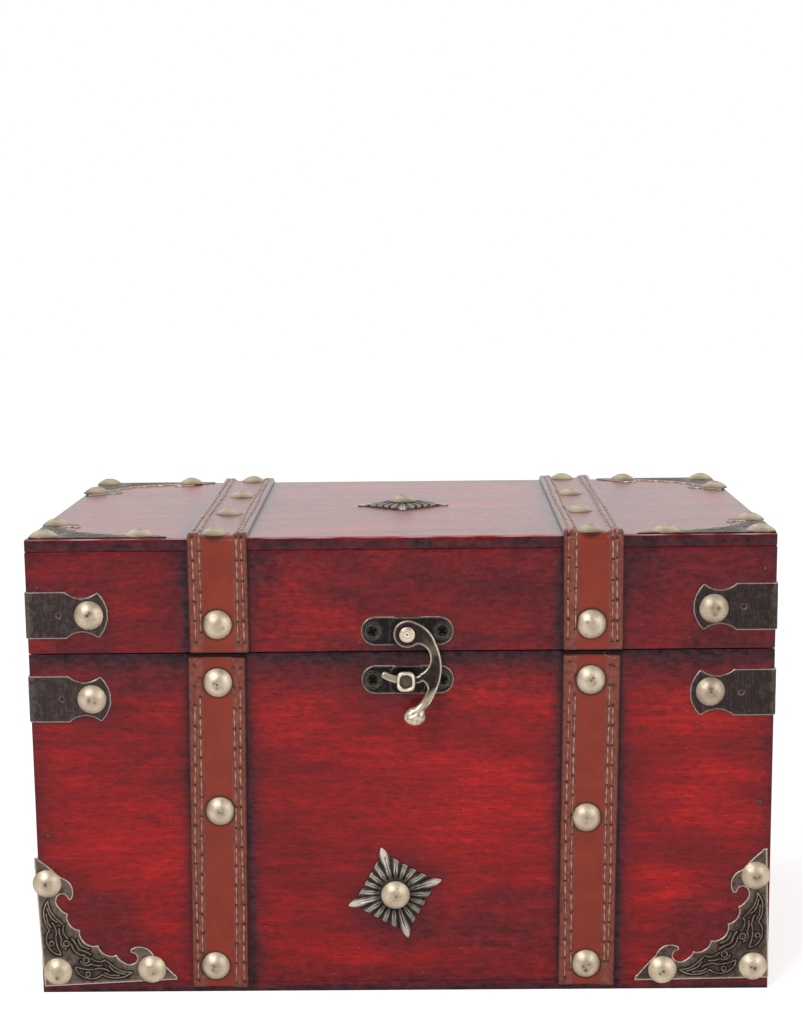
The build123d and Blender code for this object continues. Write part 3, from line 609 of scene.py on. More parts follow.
def burnish(points):
    """How dark the wood is made: stain rubbed dark, and painted shadow right of the straps, along their
    edges, round the rosette's lower right and in the gap under the lid straps' ends. Each term fades away
    from an edge, the seam, a strap or a fitting with its own reach in millimetres, and the darkest one
    counts. Below 0 it is a pale painted highlight along the top board's front edge."""
    x, y, z = points.T
    from_side, from_face = half_x - np.abs(x), half_y - np.abs(y)
    on_top = z > height - 0.9
    at_front = y < -half_y + 1.0
    edge = np.where(on_top, rub_or_painted_light("top edge", np.minimum(from_side, from_face)),
                    rub_or_painted_light("side edge", np.maximum(from_side, from_face)))
    foot = rub_or_painted_light("foot", z)
    below = np.where(z < seam, rub_or_painted_light("below seam", seam - z), rub_or_painted_light("above seam", z - seam))
    lid_rise = np.where(z > seam, 0.37 + 0.17 * smooth_step(z, seam + 8, board_foot - 4), 0.0)
    lid_rise = lid_rise * (1 - 0.50 * smooth_step(strap_middles[0] - strap_width / 2 - x, 0, 9))
    # Painted shadow of each strap on the wood to its right, stronger towards the lid's top
    right_of = np.min([np.where(x > middle, x - middle - strap_width / 2, 99) for middle in strap_middles], 0)
    strap_shadow = (rub_or_painted_light("right of strap", np.maximum(right_of, 0)) * (z < board_foot)
            * smooth_step(z, seam + 9, board_foot - 5))
    band = smooth_step(z, board_foot - 0.4, board_foot + 0.5) * 0.78
    from_strap = np.min([np.abs(x - middle) for middle in strap_middles], 0) - strap_width / 2
    straps = rub_or_painted_light("strap", np.abs(from_strap)) + rub_or_painted_light("around strap", np.abs(from_strap))
    under = np.where(z < seam, 15.0, 8.0)
    latch = 0.85 * np.exp(-(((x - latch_x) / 25.0) ** 2 + ((z - seam + 4.0) / under) ** 2) ** 1.3)
    # Painted shadow round the rosette, offset to its lower right, and broader painted shade further to its
    # lower right
    away = np.hypot(x - rosette_x - 2.5, z - rosette_z + 3.5)
    rosette = 0.62 * np.exp(-(away / 16.5) ** 4)
    low_right_shade = 0.58 * np.exp(-((x - rosette_x - 30) / 26.0) ** 2 - ((z - rosette_z + 12) / 16.0) ** 2)
    from_corner = np.maximum(from_side, z) + 0.45 * np.minimum(from_side, z)
    corner = rub_or_painted_light("bracket", np.maximum(from_corner - bracket_leg + 4.0, 0))
    beyond_clip = np.hypot(np.maximum(from_side - clip_leg, 0), np.maximum(np.abs(z - seam - 0.4) - 20.5, 0))
    clips = rub_or_painted_light("clip", beyond_clip)
    # Painted shadow, near black, in the gap between the lid straps' ends and the base straps below the seam
    gap = np.where((from_strap < 0.4) & (z < seam) & (z > seam - 3.0), 1.3, 0.0)
    fittings = np.max([latch, rosette, low_right_shade, corner, strap_shadow], 0)
    dark = np.max([edge, foot, below, band, straps, gap, np.where(at_front, fittings, 0.0), clips], 0)
    under_board = at_front & (z < board_foot)
    dark = dark * (1 - 0.5 * under_board * smooth_step(z, board_foot - 1.3, board_foot - 0.3))
    topped = np.max([edge, straps], 0)
    dark = np.clip(np.where(on_top, topped, dark + lid_rise * (1 - dark)), 0, 1.3)
    # A pale painted highlight along the top board's front edge, broken along its length
    edge_highlight = 0.45 + 0.55 * np.sin(x / 3.1) * np.sin(x / 7.7 + 1.0)
    return np.where((z > height - 0.3) & (y < -half_y + 0.35), -np.maximum(edge_highlight, 0), dark)


def indoors(points):
    """1 on the faces that look into the box."""
    x, y, z = points.T
    within = (np.abs(x) < half_x - wall + 0.05) & (np.abs(y) < half_y - wall + 0.05)
    return (within & (z > 0.5) & (z < height - 0.5)).astype(float)


for node in [node for node in nodes if node.endswith(("_panel", "_board"))]:
    points, quads, _ = board(*span(node), lid_rounding if node == "lid_top_board" else board_rounding)
    marks = {"burnish": burnish(points), "inside": indoors(points)}
    grain = wood_sides if node.endswith(("left_panel", "right_panel")) else wood_level
    make_piece("stained_" + node, [(points, quads, marks)], grain, node, sharp=50.0)


# ---- Leather straps

band_profile = np.array([(0.0, 1.15), (0.4, 1.52), (0.95, 1.66), (1.75, 1.40), (2.6, 1.78),
                         (3.45, 1.42), (3.95, 1.30), (4.25, 0.98), (4.5, 0.78), (5.2, 0.72),
                         (8.5, strap_middle)])


def over_lid(middle, lower, front_shift, back_shift):
    """Lays a strap over the lid: up the front, round the edge, over the top and down the back.
    Its place at a length is the sum of the straight runs and quarter circles passed so far, and
    its middle drifts evenly from the front's shift to the back's on the way over the top."""
    rise = height - strap_bend - lower
    bend = strap_bend * math.pi / 2
    run = 2 * (half_y - strap_bend)

    def lay(u, s, w):
        u, s, w = np.broadcast_arrays(u, s, w)
        first = np.clip((s - rise) / bend, 0, 1) * math.pi / 2
        second = np.clip((s - rise - bend - run) / bend, 0, 1) * math.pi / 2
        along = np.clip(s - rise - bend, 0, run)
        down = np.clip(s - rise - 2 * bend - run, 0, rise)
        y = -half_y + strap_bend * (1 - np.cos(first)) + along + strap_bend * np.sin(second)
        z = (lower + np.clip(s, 0, rise) + strap_bend * np.sin(first)
             - strap_bend * (1 - np.cos(second)) - down)
        turn = first + second
        drift = front_shift + (back_shift - front_shift) * along / run
        return np.stack([middle + drift + u, y - w * np.cos(turn), z + w * np.sin(turn)], -1)

    return lay, 2 * rise + 2 * bend + run, (rise + bend / 2, rise + bend * 1.5 + run)


def down_face(node):
    """Lays a strap down an upright face from its top end, leaning about that end."""
    low, high = span(node)
    lean = front_strap_leans.get(node, 0.0)
    slope = math.radians(lean)
    length = (high[2] - low[2] - strap_width * math.sin(slope) / 2) / math.cos(slope)
    middle = (low[0] + high[0]) / 2 + length * math.sin(slope) / 2 + extra_shift.get(node, 0.0)
    side = 1.0 if low[1] > 0 else -1.0
    place = flat((middle, side * half_y, high[2]), (-side, 0, 0), (0, 0, 1),
                 -lean - extra_lean.get(node, 0.0))
    return (lambda u, s, w: put(place, u, -s, w)), length, ()


def strap_studs(lay, length, places):
    """Where studs sit on a laid strap: the strap coordinates nearest to each stud's seat."""
    s = np.linspace(0, length, 700)
    line = lay(np.zeros_like(s), s, np.full_like(s, strap_middle))
    edge = lay(np.ones_like(s), s, np.full_like(s, strap_middle)) - line
    found = []
    for origin, _, _, _ in places:
        gap = np.linalg.norm(line - origin, axis=1)
        nearest = int(np.argmin(gap))
        if gap[nearest] < stud_radius:
            found.append((float((origin - line[nearest]) @ edge[nearest]), float(s[nearest])))
    return found


def strap_pieces(name, lay, length, bends, studs, node, seed):
    """A strap and its stitches. The section is two puffed bands and a thin middle; it dips at the
    pricked holes, is pressed flat under the studs and creased a little at the bends."""
    chance = np.random.default_rng(seed)
    half = (lid_strap_width if node.startswith("lid_") else strap_width) / 2
    pricks = []
    for side in (-1, 1):
        for number, inset in enumerate(stitch_rows):
            start = 2.2 + 0.5 * stitch_pitch * (side < 0) * number + chance.uniform(0, 1.2)
            s = np.arange(start, length - 1.6, stitch_pitch)
            s = s + chance.uniform(-0.22, 0.22, len(s))
            drift = chance.uniform(-0.25, 0.25) + 0.2 * np.sin(s / 17.0 + chance.uniform(0, 6))
            u = side * (half - inset) + drift + chance.uniform(-0.1, 0.1, len(s))
            pricks.append(np.stack([u, s], -1))

    def thickness(u, s):
        inset = half - np.abs(u)
        swell = 1 + 0.035 * np.sin(s / 4.1 + seed) + 0.025 * np.sin(s / 1.7 + 2 * seed)
        rise = np.interp(inset, *band_profile.T)
        rise = strap_middle + (rise - strap_middle) * swell
        for bend in bends:
            for offset in (-1.5, 0.2, 1.7):
                rise = rise - 0.10 * hump(s - bend - offset, 0.35) * (inset < 4.6)
        for stud_u, stud_s in studs:
            away = np.hypot(u - stud_u, s - stud_s)
            rise = np.minimum(rise, strap_middle - 0.02 + np.clip(away - stud_radius + 0.1, 0, None) * 0.8)
        return rise

    def prick_depth(u, s):
        dip = np.zeros(np.broadcast(u, s).shape)
        for row in pricks:
            spot = np.clip(np.searchsorted(row[:, 1], s), 1, len(row) - 1)
            nearer = np.where(np.abs(row[spot, 1] - s) < np.abs(row[spot - 1, 1] - s), spot, spot - 1)
            away = np.hypot(u - row[nearer, 0], s - row[nearer, 1])
            dip = np.maximum(dip, hump(away, hole_radius))
        return dip

    edge_u = half - np.array([0.0, 0.0, 0.10, 0.40])
    share = np.array([0.0, 0.55, 0.86, 1.0])
    inner = np.arange(-half + 0.8, half - 0.79, strap_step)
    u = np.concatenate([-edge_u, inner, edge_u[::-1]])
    share = np.concatenate([share, np.ones(len(inner)), share[::-1]])
    s = np.linspace(0, length, int(length / strap_step))
    ends = np.clip(np.minimum(s, length - s) / 0.7, 0, 1)
    taper = 0.72 + 0.28 * np.sqrt(ends * (2 - ends))
    s_grid, u_grid = np.meshgrid(s, u, indexing="ij")
    dip = prick_depth(u_grid, s_grid)
    w = (thickness(u_grid, s_grid) - 0.62 * dip) * share * taper[:, None]
    near_edge = fade(half - np.abs(u_grid), 0.55) * 0.55
    stain = dip * 1.25 + near_edge + (1 - ends[:, None]) * 0.3
    band = smooth_step(np.abs(u_grid), half - 4.5, half - 4.1)
    # A painted contact shadow on the leather in a thin ring round each stud
    for stud_u, stud_s in studs:
        away = np.hypot(u_grid - stud_u, s_grid - stud_s)
        stain = np.maximum(stain, 0.85 * hump(away - stud_radius - 0.1, 0.42))
    rows = np.concatenate([[0], np.arange(len(s)), [len(s) - 1]])
    flatten = np.ones(len(rows))
    flatten[[0, -1]] = 0
    outer = lay(u_grid[rows], s_grid[rows], w[rows] * flatten[:, None])
    back = lay(u_grid[rows], s_grid[rows], np.zeros_like(w[rows]))[:, ::-1]
    loop = np.concatenate([outer, back], 1)
    unmarked_back = ((0, 0), (0, len(u)))
    make_piece(name, [surface(loop, stain=np.pad(stain[rows], unmarked_back),
                              band=np.pad(band[rows], unmarked_back))], leather, node, sharp=60.0)

    # The thread is buried near the upper end of a base strap, where only the holes show
    firsts = [0.0 if node.startswith("lid_") else chance.uniform(5.0, 13.0) for _ in pricks]
    runs = np.concatenate([np.stack([row[:-1], row[1:]], 1)[row[:-1, 1] > first]
                           for row, first in zip(pricks, firsts)])
    for head in studs:
        spots = np.concatenate([runs, runs.mean(1, keepdims=True)], 1) - head
        runs = runs[(np.hypot(*spots.T) >= stud_radius - 0.2).all(0)]
    starts, stops = runs[:, 0], runs[:, 1]
    # One stitch: shares of its run, and the thread's height over the leather and girth there
    t = np.array([0.035, 0.05, 0.09, 0.16, 0.32, 0.5, 0.68, 0.84, 0.91, 0.95, 0.965])
    lift = np.array([-0.42, -0.36, -0.12, 0.10, 0.17, 0.19, 0.17, 0.10, -0.12, -0.36, -0.42])
    girth = stitch_radius * np.array([0.02, 0.7, 0.9, 1.0, 1.05, 1.05, 1.05, 1.0, 0.9, 0.7, 0.02])
    around = circle(6)
    centre = starts[:, None, :] + (stops - starts)[:, None, :] * t[:, None]
    level = thickness(centre[..., 0], centre[..., 1]) + lift
    fullness = chance.uniform(0.65, 1.2, len(starts))[:, None, None] * girth[:, None]
    level = level + chance.uniform(-0.08, 0.05, len(starts))[:, None]
    stitch_u = centre[..., 0][..., None] + fullness * np.cos(around)
    stitch_w = level[..., None] + fullness * np.sin(around)
    points = lay(stitch_u, centre[..., 1][..., None] + 0 * around, stitch_w)
    stitches = [surface(one) for one in points]
    make_piece(name + "_stitches", stitches, thread, node, sharp=80.0)


strap_seats = [place for node in ("lid_strap_studs", "base_strap_studs")
               for place in seats(node, stud_reach, stud_height)]
strap_nodes = [node for node in nodes if node.endswith(("_strap_left", "_strap_right"))]
for seed, node in enumerate(strap_nodes):
    if node.startswith("lid_"):
        low, high = span(node)
        lay, length, bends = over_lid((low[0] + high[0]) / 2, low[2], *lid_strap_shifts[node])
    else:
        lay, length, bends = down_face(node)
    strap_pieces("leather_" + node, lay, length, bends, strap_studs(lay, length, strap_seats), node, seed)


# ---- Studs, pins and screws

def stud(place, chance, tarnish, rim_shade=0.20):
    """A struck dome: a ball's cap with a turned-under rim, dented a little, pitted at the crown. Painted
    shade darkens it towards the rim, and a painted shadow runs along its edge.
    """
    ball = (stud_radius ** 2 + stud_height ** 2) / (2 * stud_height)
    angle = math.asin(stud_radius / ball) * np.linspace(0, 1, 27)
    radius = ball * np.sin(angle)
    rise = 0.16 + (stud_height - 0.16) * (1 - (radius / stud_radius) ** 2.15)
    radius = np.concatenate([radius, [stud_radius + 0.06, stud_radius + 0.02, stud_radius - 0.4, 0.0]])
    rise = np.concatenate([rise, [0.05, -0.14, -0.25, -0.25]])
    turns = circle(40)
    u, v = radius[:, None] * np.cos(turns), radius[:, None] * np.sin(turns)
    w = rise[:, None] + 0 * turns
    shown = (np.arange(len(radius)) < 26)[:, None]
    for _ in range(5):
        far = np.hypot(u - chance.uniform(-3, 3), v - chance.uniform(-3, 3))
        w = w - shown * chance.uniform(0.01, 0.05) * hump(far, chance.uniform(0.5, 1.3))
    stain = np.zeros(w.shape)
    for _ in range(int(chance.integers(1, 4))):
        far = np.hypot(u - chance.normal(0, 0.7), v - chance.normal(0, 0.7))
        size = chance.uniform(0.28, 0.60)
        stain = np.maximum(stain, shown * hump(far, size) * chance.uniform(0.5, 1.0))
        w = w - shown * 0.07 * hump(far, size)
    far = np.hypot(u, v) / stud_radius
    crown = 0.36 * (1 - smooth_step(np.hypot(u - 0.3, v + 0.2), 0.9, 2.7))
    # Painted shade darkens the dome towards its rim, as much as the last argument says
    worn = (0.84 - tarnish - chance.uniform(0, 0.14) - crown - rim_shade * far ** 3
            + 0.14 * np.sin(3 * turns + chance.uniform(0, 6)) * far)
    # Painted shadow along the dome's edge and under it
    edge_shadow = np.where(np.arange(len(radius)) > 27, 1.0, 0.5 * (np.arange(len(radius)) > 25))[:, None]
    return surface(put(place, u, v, w), worn=worn, stain=stain + edge_shadow)


def closing(place, u, v, level):
    """The two rings that close a round shape from below: its rim at a level, and its middle."""
    return put(place, np.stack([u[-1], 0 * u[-1]]), np.stack([v[-1], 0 * v[-1]]), level)


two_rows = ((0, 2), (0, 0))


def screw(place, radius, turn):
    """A flat crosshead screw: a low crown with a cross sunk into it, tapering to its middle."""
    rings = np.concatenate([np.linspace(0, 0.66, 15), np.linspace(0.70, 1, 6)]) * radius
    turns = circle(56)
    u, v = rings[:, None] * np.cos(turns), rings[:, None] * np.sin(turns)
    crown = 0.22 - 0.16 * (rings / radius) ** 4
    along, across = u * math.cos(turn) + v * math.sin(turn), v * math.cos(turn) - u * math.sin(turn)
    arm, thin = 0.62 * radius, 0.12 * radius
    cross = np.max([(1 - smooth_step(np.abs(one), arm - 0.12, arm))
                    * (1 - smooth_step(np.abs(two), thin, thin + 0.14))
                    for one, two in ((along, across), (across, along))], 0)
    w = crown[:, None] - 0.42 * cross * (1.1 - 0.4 * rings[:, None] / radius)
    points = np.concatenate([put(place, u, v, w), closing(place, u, v, -0.42)])
    edge = fade(radius - rings, 0.18)[:, None] * (1 - cross)
    # The sunk cross is darkened as painted shade
    return surface(points, worn=np.pad(edge * 0.9 + 0.10, two_rows),
                   stain=np.pad(cross * 0.85, two_rows, constant_values=1))


chance = np.random.default_rng(7)
for node in nodes:
    if node.endswith(("_studs", "_stud")):
        heads = []
        for place in seats(node, stud_reach, stud_height):
            clip_right = node in stud_nudges and place[0][0] > 0
            if clip_right and place[3][1] < -0.5:
                place[0][:] += stud_nudges[node]
            # Studs on the lid's top get stronger painted shade towards their rims
            heads.append(stud(place, chance, 0.26 if clip_right else 0.0,
                              0.6 if place[3][2] > 0.9 else 0.20))
        make_piece("domed_" + node, heads, stud_brass, node, sharp=60.0)
    elif node.endswith("_panel_pins"):
        profile = [(0, 0.22), (0.3, 0.2), (0.55, 0.12), (0.65, 0.0), (0.5, -0.1), (0, -0.1)]
        heads = [turned(place, profile, 14, worn=[0.5, 0.5, 0.3, 0, 0, 0])
                 for place in seats(node, pin_reach, 0.25)]
        make_piece("steel_" + node, heads, screw_metal, node)
    elif node.endswith("_screws"):
        radius, reach = ((hinge_screw_radius, hinge_screw_reach) if node.endswith("_hinge_screws")
                         else (plate_screw_radius, plate_screw_reach))
        heads = [screw(place, radius, turn)
                 for place, turn in zip(seats(node, reach, 0.2), chance.uniform(0, 1.5, 9))]
        make_piece("crosshead_" + node, heads, screw_metal, node, sharp=50.0)


# ---- Edge clips

clip_straight, clip_waist, clip_flare = 0.48 * clip_leg, 0.68 * clip_leg, 0.87 * clip_leg
clip_dip = 1.9
clip_bend = 0.9


def clip_outline():
    """Both legs end to end: straight bands, then waists, flares and bowed ends, as arcs."""
    half = clip_width / 2
    waist = arc((clip_straight, half), (clip_waist, half - clip_dip), (clip_flare - 0.3, half - 0.35))
    corner = arc(waist[-1], (clip_flare + 0.3, half - 0.35), (clip_flare + 0.8, half - 0.9), 6)
    tip = arc(corner[-1], (clip_leg, 0), corner[-1] * (1, -1), 24)
    side = np.concatenate([waist, corner])
    right = np.concatenate([side, tip, (side * (1, -1))[::-1]])
    return np.concatenate([right, -right])


clip_distance = outside(clip_outline())
clip_holes, clip_hole = 0.39 * clip_leg, 0.62


def edge_clip(node):
    """A strip wrapped round an upright edge: its length runs along one face, a quarter circle
    and the other face. The outline is cut out of it with a nail hole in each leg."""
    side_x, side_y, _ = np.sign(middle_of(node))
    level = middle_of(node)[2] + clip_rises.get(node, 0.0)
    stretched = 1 + clip_stretches.get(node, 0.0) / clip_leg
    quarter = clip_bend * math.pi / 4

    def lay(s, z, w):
        s, z, w = np.broadcast_arrays(s, z, w)
        turn = np.clip(s / quarter, -1, 1) * math.pi / 4 + math.pi / 4
        run = np.clip(np.abs(s) - quarter, 0, None)
        along_x = clip_bend * (1 - np.sin(turn)) + np.where(s < 0, run, 0)
        along_y = clip_bend * (1 - np.cos(turn)) + np.where(s > 0, run, 0)
        return np.stack([side_x * (half_x - along_x + w * np.sin(turn)),
                         side_y * (half_y - along_y + w * np.cos(turn)), level + z], -1)

    reach = clip_leg - clip_bend + quarter

    def distance(s, z):
        stretch = (np.abs(s) + clip_bend - quarter) / np.where(s < 0, stretched, 1.0)
        hole = np.hypot(stretch - clip_holes, z)
        return np.maximum(clip_distance(np.sign(s) * stretch + (s == 0) * 1e-6, z), clip_hole - hole)

    def top(s, z, depth):
        return clip_thickness - rounded(depth, 0.25) + 0.02 * np.sin(s * 1.3) * np.sin(z * 0.9)

    tarnish = 0.30 if side_x > 0 else 0.0

    def worn(s, z, depth):
        by_hole = np.exp(-((np.abs(s) - clip_holes) ** 2 + z ** 2) / 1.3 ** 2)
        rim = hump(depth - 0.06, 0.17) * (1 - 0.9 * by_hole)
        return rim + 0.1 * hump(s, 1.2)

    def stain(s, z, depth):
        return tarnish * smooth_step(depth, 0.1, 0.5)

    shape = cut_sheet(lay, distance, (-reach * stretched - 0.5, reach + 0.5, -7.5, 7.5), clip_step, top,
                      worn=worn, stain=stain)
    make_piece("bent_" + node, [shape], clip_metal, node)


for node in nodes:
    if node.endswith("_edge_clip"):
        edge_clip(node)


# ---- Corner brackets

# One leg's inner edge from its tip to the cusp at the corner's bay, in millimetres, as arcs
leg_arcs = ((40.5, 0.0), (40.4, 0.95), (39.6, 1.8), (37.3, 4.45), (34.0, 7.7), (32.0, 10.35),
            (29.8, 11.1), (28.5, 11.0), (27.5, 10.6), (26.8, 9.8), (27.1, 9.15), (28.75, 7.4),
            (27.6, 5.9), (26.4, 5.7), (24.6, 6.5), (23.3, 7.6), (22.6, 8.9), (21.0, 8.65),
            (19.2, 9.25), (17.9, 10.45), (17.35, 12.2))
bay_middle = 13.3

# The scrollwork of one leg, in millimetres along and across it; the other leg mirrors it
scroll_lines = (
    ((9.3, 5.3), (9.7, 3.7), (11.1, 2.2), (13.1, 1.35), (15.0, 1.25), (16.6, 1.9), (17.3, 2.4),
     (18.5, 1.7), (20.8, 1.1), (23.4, 1.15), (25.3, 1.9), (26.4, 2.6)),
    ((26.4, 2.6), (24.1, 2.9), (21.9, 3.9), (20.3, 5.3), (19.0, 6.5)),
    ((9.7, 5.2), (11.6, 4.5), (14.3, 4.1), (16.6, 4.4), (18.6, 3.9), (19.5, 3.3)),
    ((19.6, 5.0), (20.8, 3.5), (22.6, 2.6), (24.2, 2.2)),
    ((18.1, 2.9), (19.7, 2.1), (22.4, 1.8)),
    ((14.3, 7.7), (15.6, 6.8), (17.3, 6.5), (18.6, 6.9)),
    ((14.2, 5.9), (12.9, 5.5), (11.6, 6.1), (11.0, 7.0)),
    ((14.4, 5.7), (16.0, 5.3), (17.6, 5.3)),
    ((8.9, 14.3), (9.7, 13.1), (10.2, 12.0)),
)
middle_lines = (
    ((8.6, 12.6), (9.2, 10.7), (10.7, 9.2), (12.6, 8.6)),
    ((10.1, 12.2), (10.8, 10.8), (12.2, 10.1)),
    ((10.7, 14.0), (11.4, 12.3), (12.3, 11.4), (14.0, 10.7)),
)
scroll_rings = (((12.75, 7.2), 0.9), ((13.0, 2.7), 0.7))
scroll_inset = 0.48


def bracket_outline():
    """Both legs: arcs from one tip to the inner corner's bay and out along the other leg."""
    side = arcs(leg_arcs)
    cusp = side[-1]
    bay = arc(cusp, (bay_middle, bay_middle), cusp[::-1])
    return np.concatenate([[(0, 0)], side, bay, side[::-1, ::-1]])


bracket_distance = outside(bracket_outline())
motif = [flow(line) + scroll_inset for line in scroll_lines + middle_lines]
motif += [ring_line(*ring) + scroll_inset for ring in scroll_rings]
motif_distance = from_lines(motif + [line[:, ::-1] for line in motif])


def bracket_relief(u, v, depth):
    """A raised rim, and raised scroll lines between sunk grooves: each is a hump that falls off
    with the square of the distance."""
    from_motif = motif_distance(u, v)
    uneven = 0.72 + 0.28 * np.sin(1.7 * u + 0.9 * v) * np.sin(1.3 * v - 0.8 * u + 1.0)
    ridge = hump(from_motif, 0.15) * uneven
    groove = hump(from_motif - 0.42, 0.19) * uneven
    rim = hump(depth - 0.13, 0.15)
    field = smooth_step(depth, 0.5, 1.3) * hump(from_motif, 1.6)
    return ridge, groove, rim, field


def bracket(node, place, polish, bright_edge=1.0):
    """Polish is how far the plain field is worn, beside the rim and the scroll lines. The bright
    edge is how far the two straight outer edges are worn too."""
    def top(u, v, depth):
        ridge, groove, rim, field = bracket_relief(u, v, depth)
        raised = 0.06 * rim + 0.09 * ridge - 0.13 * groove - 0.03 * field
        return bracket_thickness + raised - rounded(depth, 0.2)

    def worn(u, v, depth):
        ridge, groove, rim, _ = bracket_relief(u, v, depth)
        along_edge = fade(np.minimum(u, v), 0.4) * 0.30 * bright_edge
        rim = rim * np.maximum(bright_edge, smooth_step(np.minimum(u, v), 0.3, 1.2))
        shade = 0.06 * np.sin(u / 4.3 + 1.0) * np.sin(v / 3.1)
        return polish + shade + 0.95 * rim + 0.52 * ridge - 0.3 * groove + along_edge

    def stain(u, v, depth):
        ridge, groove, _, field = bracket_relief(u, v, depth)
        dull = (1 - bright_edge) * 0.6 * fade(np.minimum(u, v), 0.6)
        return groove * 0.85 + 0.30 * field * (1 - ridge) + dull

    reach = (-0.3, bracket_leg + 0.3)
    shape = cut_sheet(partial(put, place), bracket_distance, reach * 2, bracket_step, top, worn=worn,
                      stain=stain)
    make_piece("pressed_" + node, [shape], bracket_metal, node, sharp=55.0)


def hand_nailed(x, z, first, second):
    """A front bracket's frame, from the place of its corner and its two legs' turns in degrees
    from level. They are nailed a little askew and aren't quite square."""
    legs = [np.array([math.cos(math.radians(turn)), 0.0, math.sin(math.radians(turn))])
            for turn in (first, second)]
    return np.array([x, -half_y, z]), legs[0], legs[1], np.array([0.0, -1.0, 0.0])


# The top brackets in order round the lid: their corners' sides, and how far they stand in from them
top_brackets = (("front_left", -1, -1, 1.2), ("front_right", 1, -1, 0.3), ("back_right", 1, 1, 1.2),
                ("back_left", -1, 1, 1.2))
for number, (corner, side_x, side_y, inset) in enumerate(top_brackets):
    place = flat((side_x * (half_x - inset), side_y * (half_y - inset), height), (1, 0, 0), (0, 1, 0),
                 90 * number)
    bracket(f"lid_{corner}_corner_bracket", place, 0.06, 0.0)
bracket("base_left_corner_bracket", hand_nailed(0.54 - half_x, 1.96, 2.78, 92.4), 0.09)
bracket("base_right_corner_bracket", hand_nailed(half_x + 0.2, 3.37, 91.69, 180.81), 0.04)


# ---- Rosettes

def rosette(node, place):
    """A square on its point whose rim is scalloped twenty times. Height falls from the crown to
    the rim; each lobe is a hump across its width with a narrow slit down its middle."""
    turns = circle(240)
    share = np.concatenate([np.linspace(0, 0.9, 34), np.linspace(0.92, 1.0, 7)])
    quarter = turns % (math.pi / 2) - math.pi / 4
    square = math.cos(math.pi / 4) / np.cos(quarter)
    lobe = np.abs(np.cos(10 * turns))
    to_tip = np.abs(np.abs(quarter) - math.pi / 4)
    tip = hump(to_tip, 0.135)
    rim = rosette_radius * square * (0.835 + 0.065 * lobe ** 0.7 + 0.10 * tip)
    u, v = share[:, None] * rim * np.cos(turns), share[:, None] * rim * np.sin(turns)
    far = np.hypot(u, v)
    fall = smooth_step(far, 3.6, 13.0)
    flute = (lobe ** 0.8)[None] * smooth_step(far, 3.8, 6.0)
    slit_width = 0.16 * (1 - smooth_step(far / rim, 0.55, 0.93))
    across = np.abs(((turns * 10 / math.pi + 0.5) % 1 - 0.5) * math.pi / 10)[None] * far
    slit = hump(across, np.maximum(slit_width, 0.02)) * smooth_step(far, 5.2, 6.4)
    slit = slit * (1 - smooth_step(far / rim, 0.72, 0.84))
    w = 1.25 - 0.85 * fall + 0.42 * flute * (1 - 0.35 * fall) - 0.28 * slit
    w = w - rounded((1 - share[:, None]) * rim, 0.2)
    points = np.concatenate([put(place, u, v, w), closing(place, u, v, 0.0)])
    valley = (1 - lobe ** 0.9)[None] * smooth_step(far, 4.2, 5.4)
    # Painted light from one side, upper left on the front rosette and back left on the top one: the crests
    # are painted highlights along the ribs, stronger on that side, the leaf points are brighter there, and
    # the far side is darkened as painted shade
    toward_light = 0.72 + 0.28 * np.cos(turns - math.radians(115))
    crest = hump(across - 0.36, 0.17) * smooth_step(far, 5.4, 7.6) * toward_light
    crest = crest * (1 - 0.5 * smooth_step(far / rim, 0.72, 0.95))
    at_rim = hump((1 - share[:, None]) * rim, 0.24)
    leaf = smooth_step(far, 8.5, 11.0) * (1 - smooth_step(to_tip * far, 0.9, 1.5))
    worn = (0.06 + 0.95 * crest + 0.12 * flute - 0.25 * valley + 0.26 * at_rim
            + 0.55 * leaf * (0.55 + 0.45 * toward_light))
    shade = 0.28 * (1 - toward_light) * (1 - 0.6 * crest)
    stain = 0.9 * slit + 0.66 * valley + 0.5 * (1 - smooth_step(far, 4.4, 6.6)) + shade
    shape = surface(points, worn=np.pad(worn, two_rows), stain=np.pad(stain, two_rows))
    make_piece("fluted_" + node, [shape], rosette_metal, node, sharp=70.0)


rosette("lid_rosette", flat((*middle_of("lid_rosette")[:2], height), (1, 0, 0), (0, 1, 0)))
base_x, _, base_z = middle_of("base_rosette")
rosette("base_rosette", on_front(base_x - 0.2, base_z + 0.4, turn=15.5))


# ---- Latch

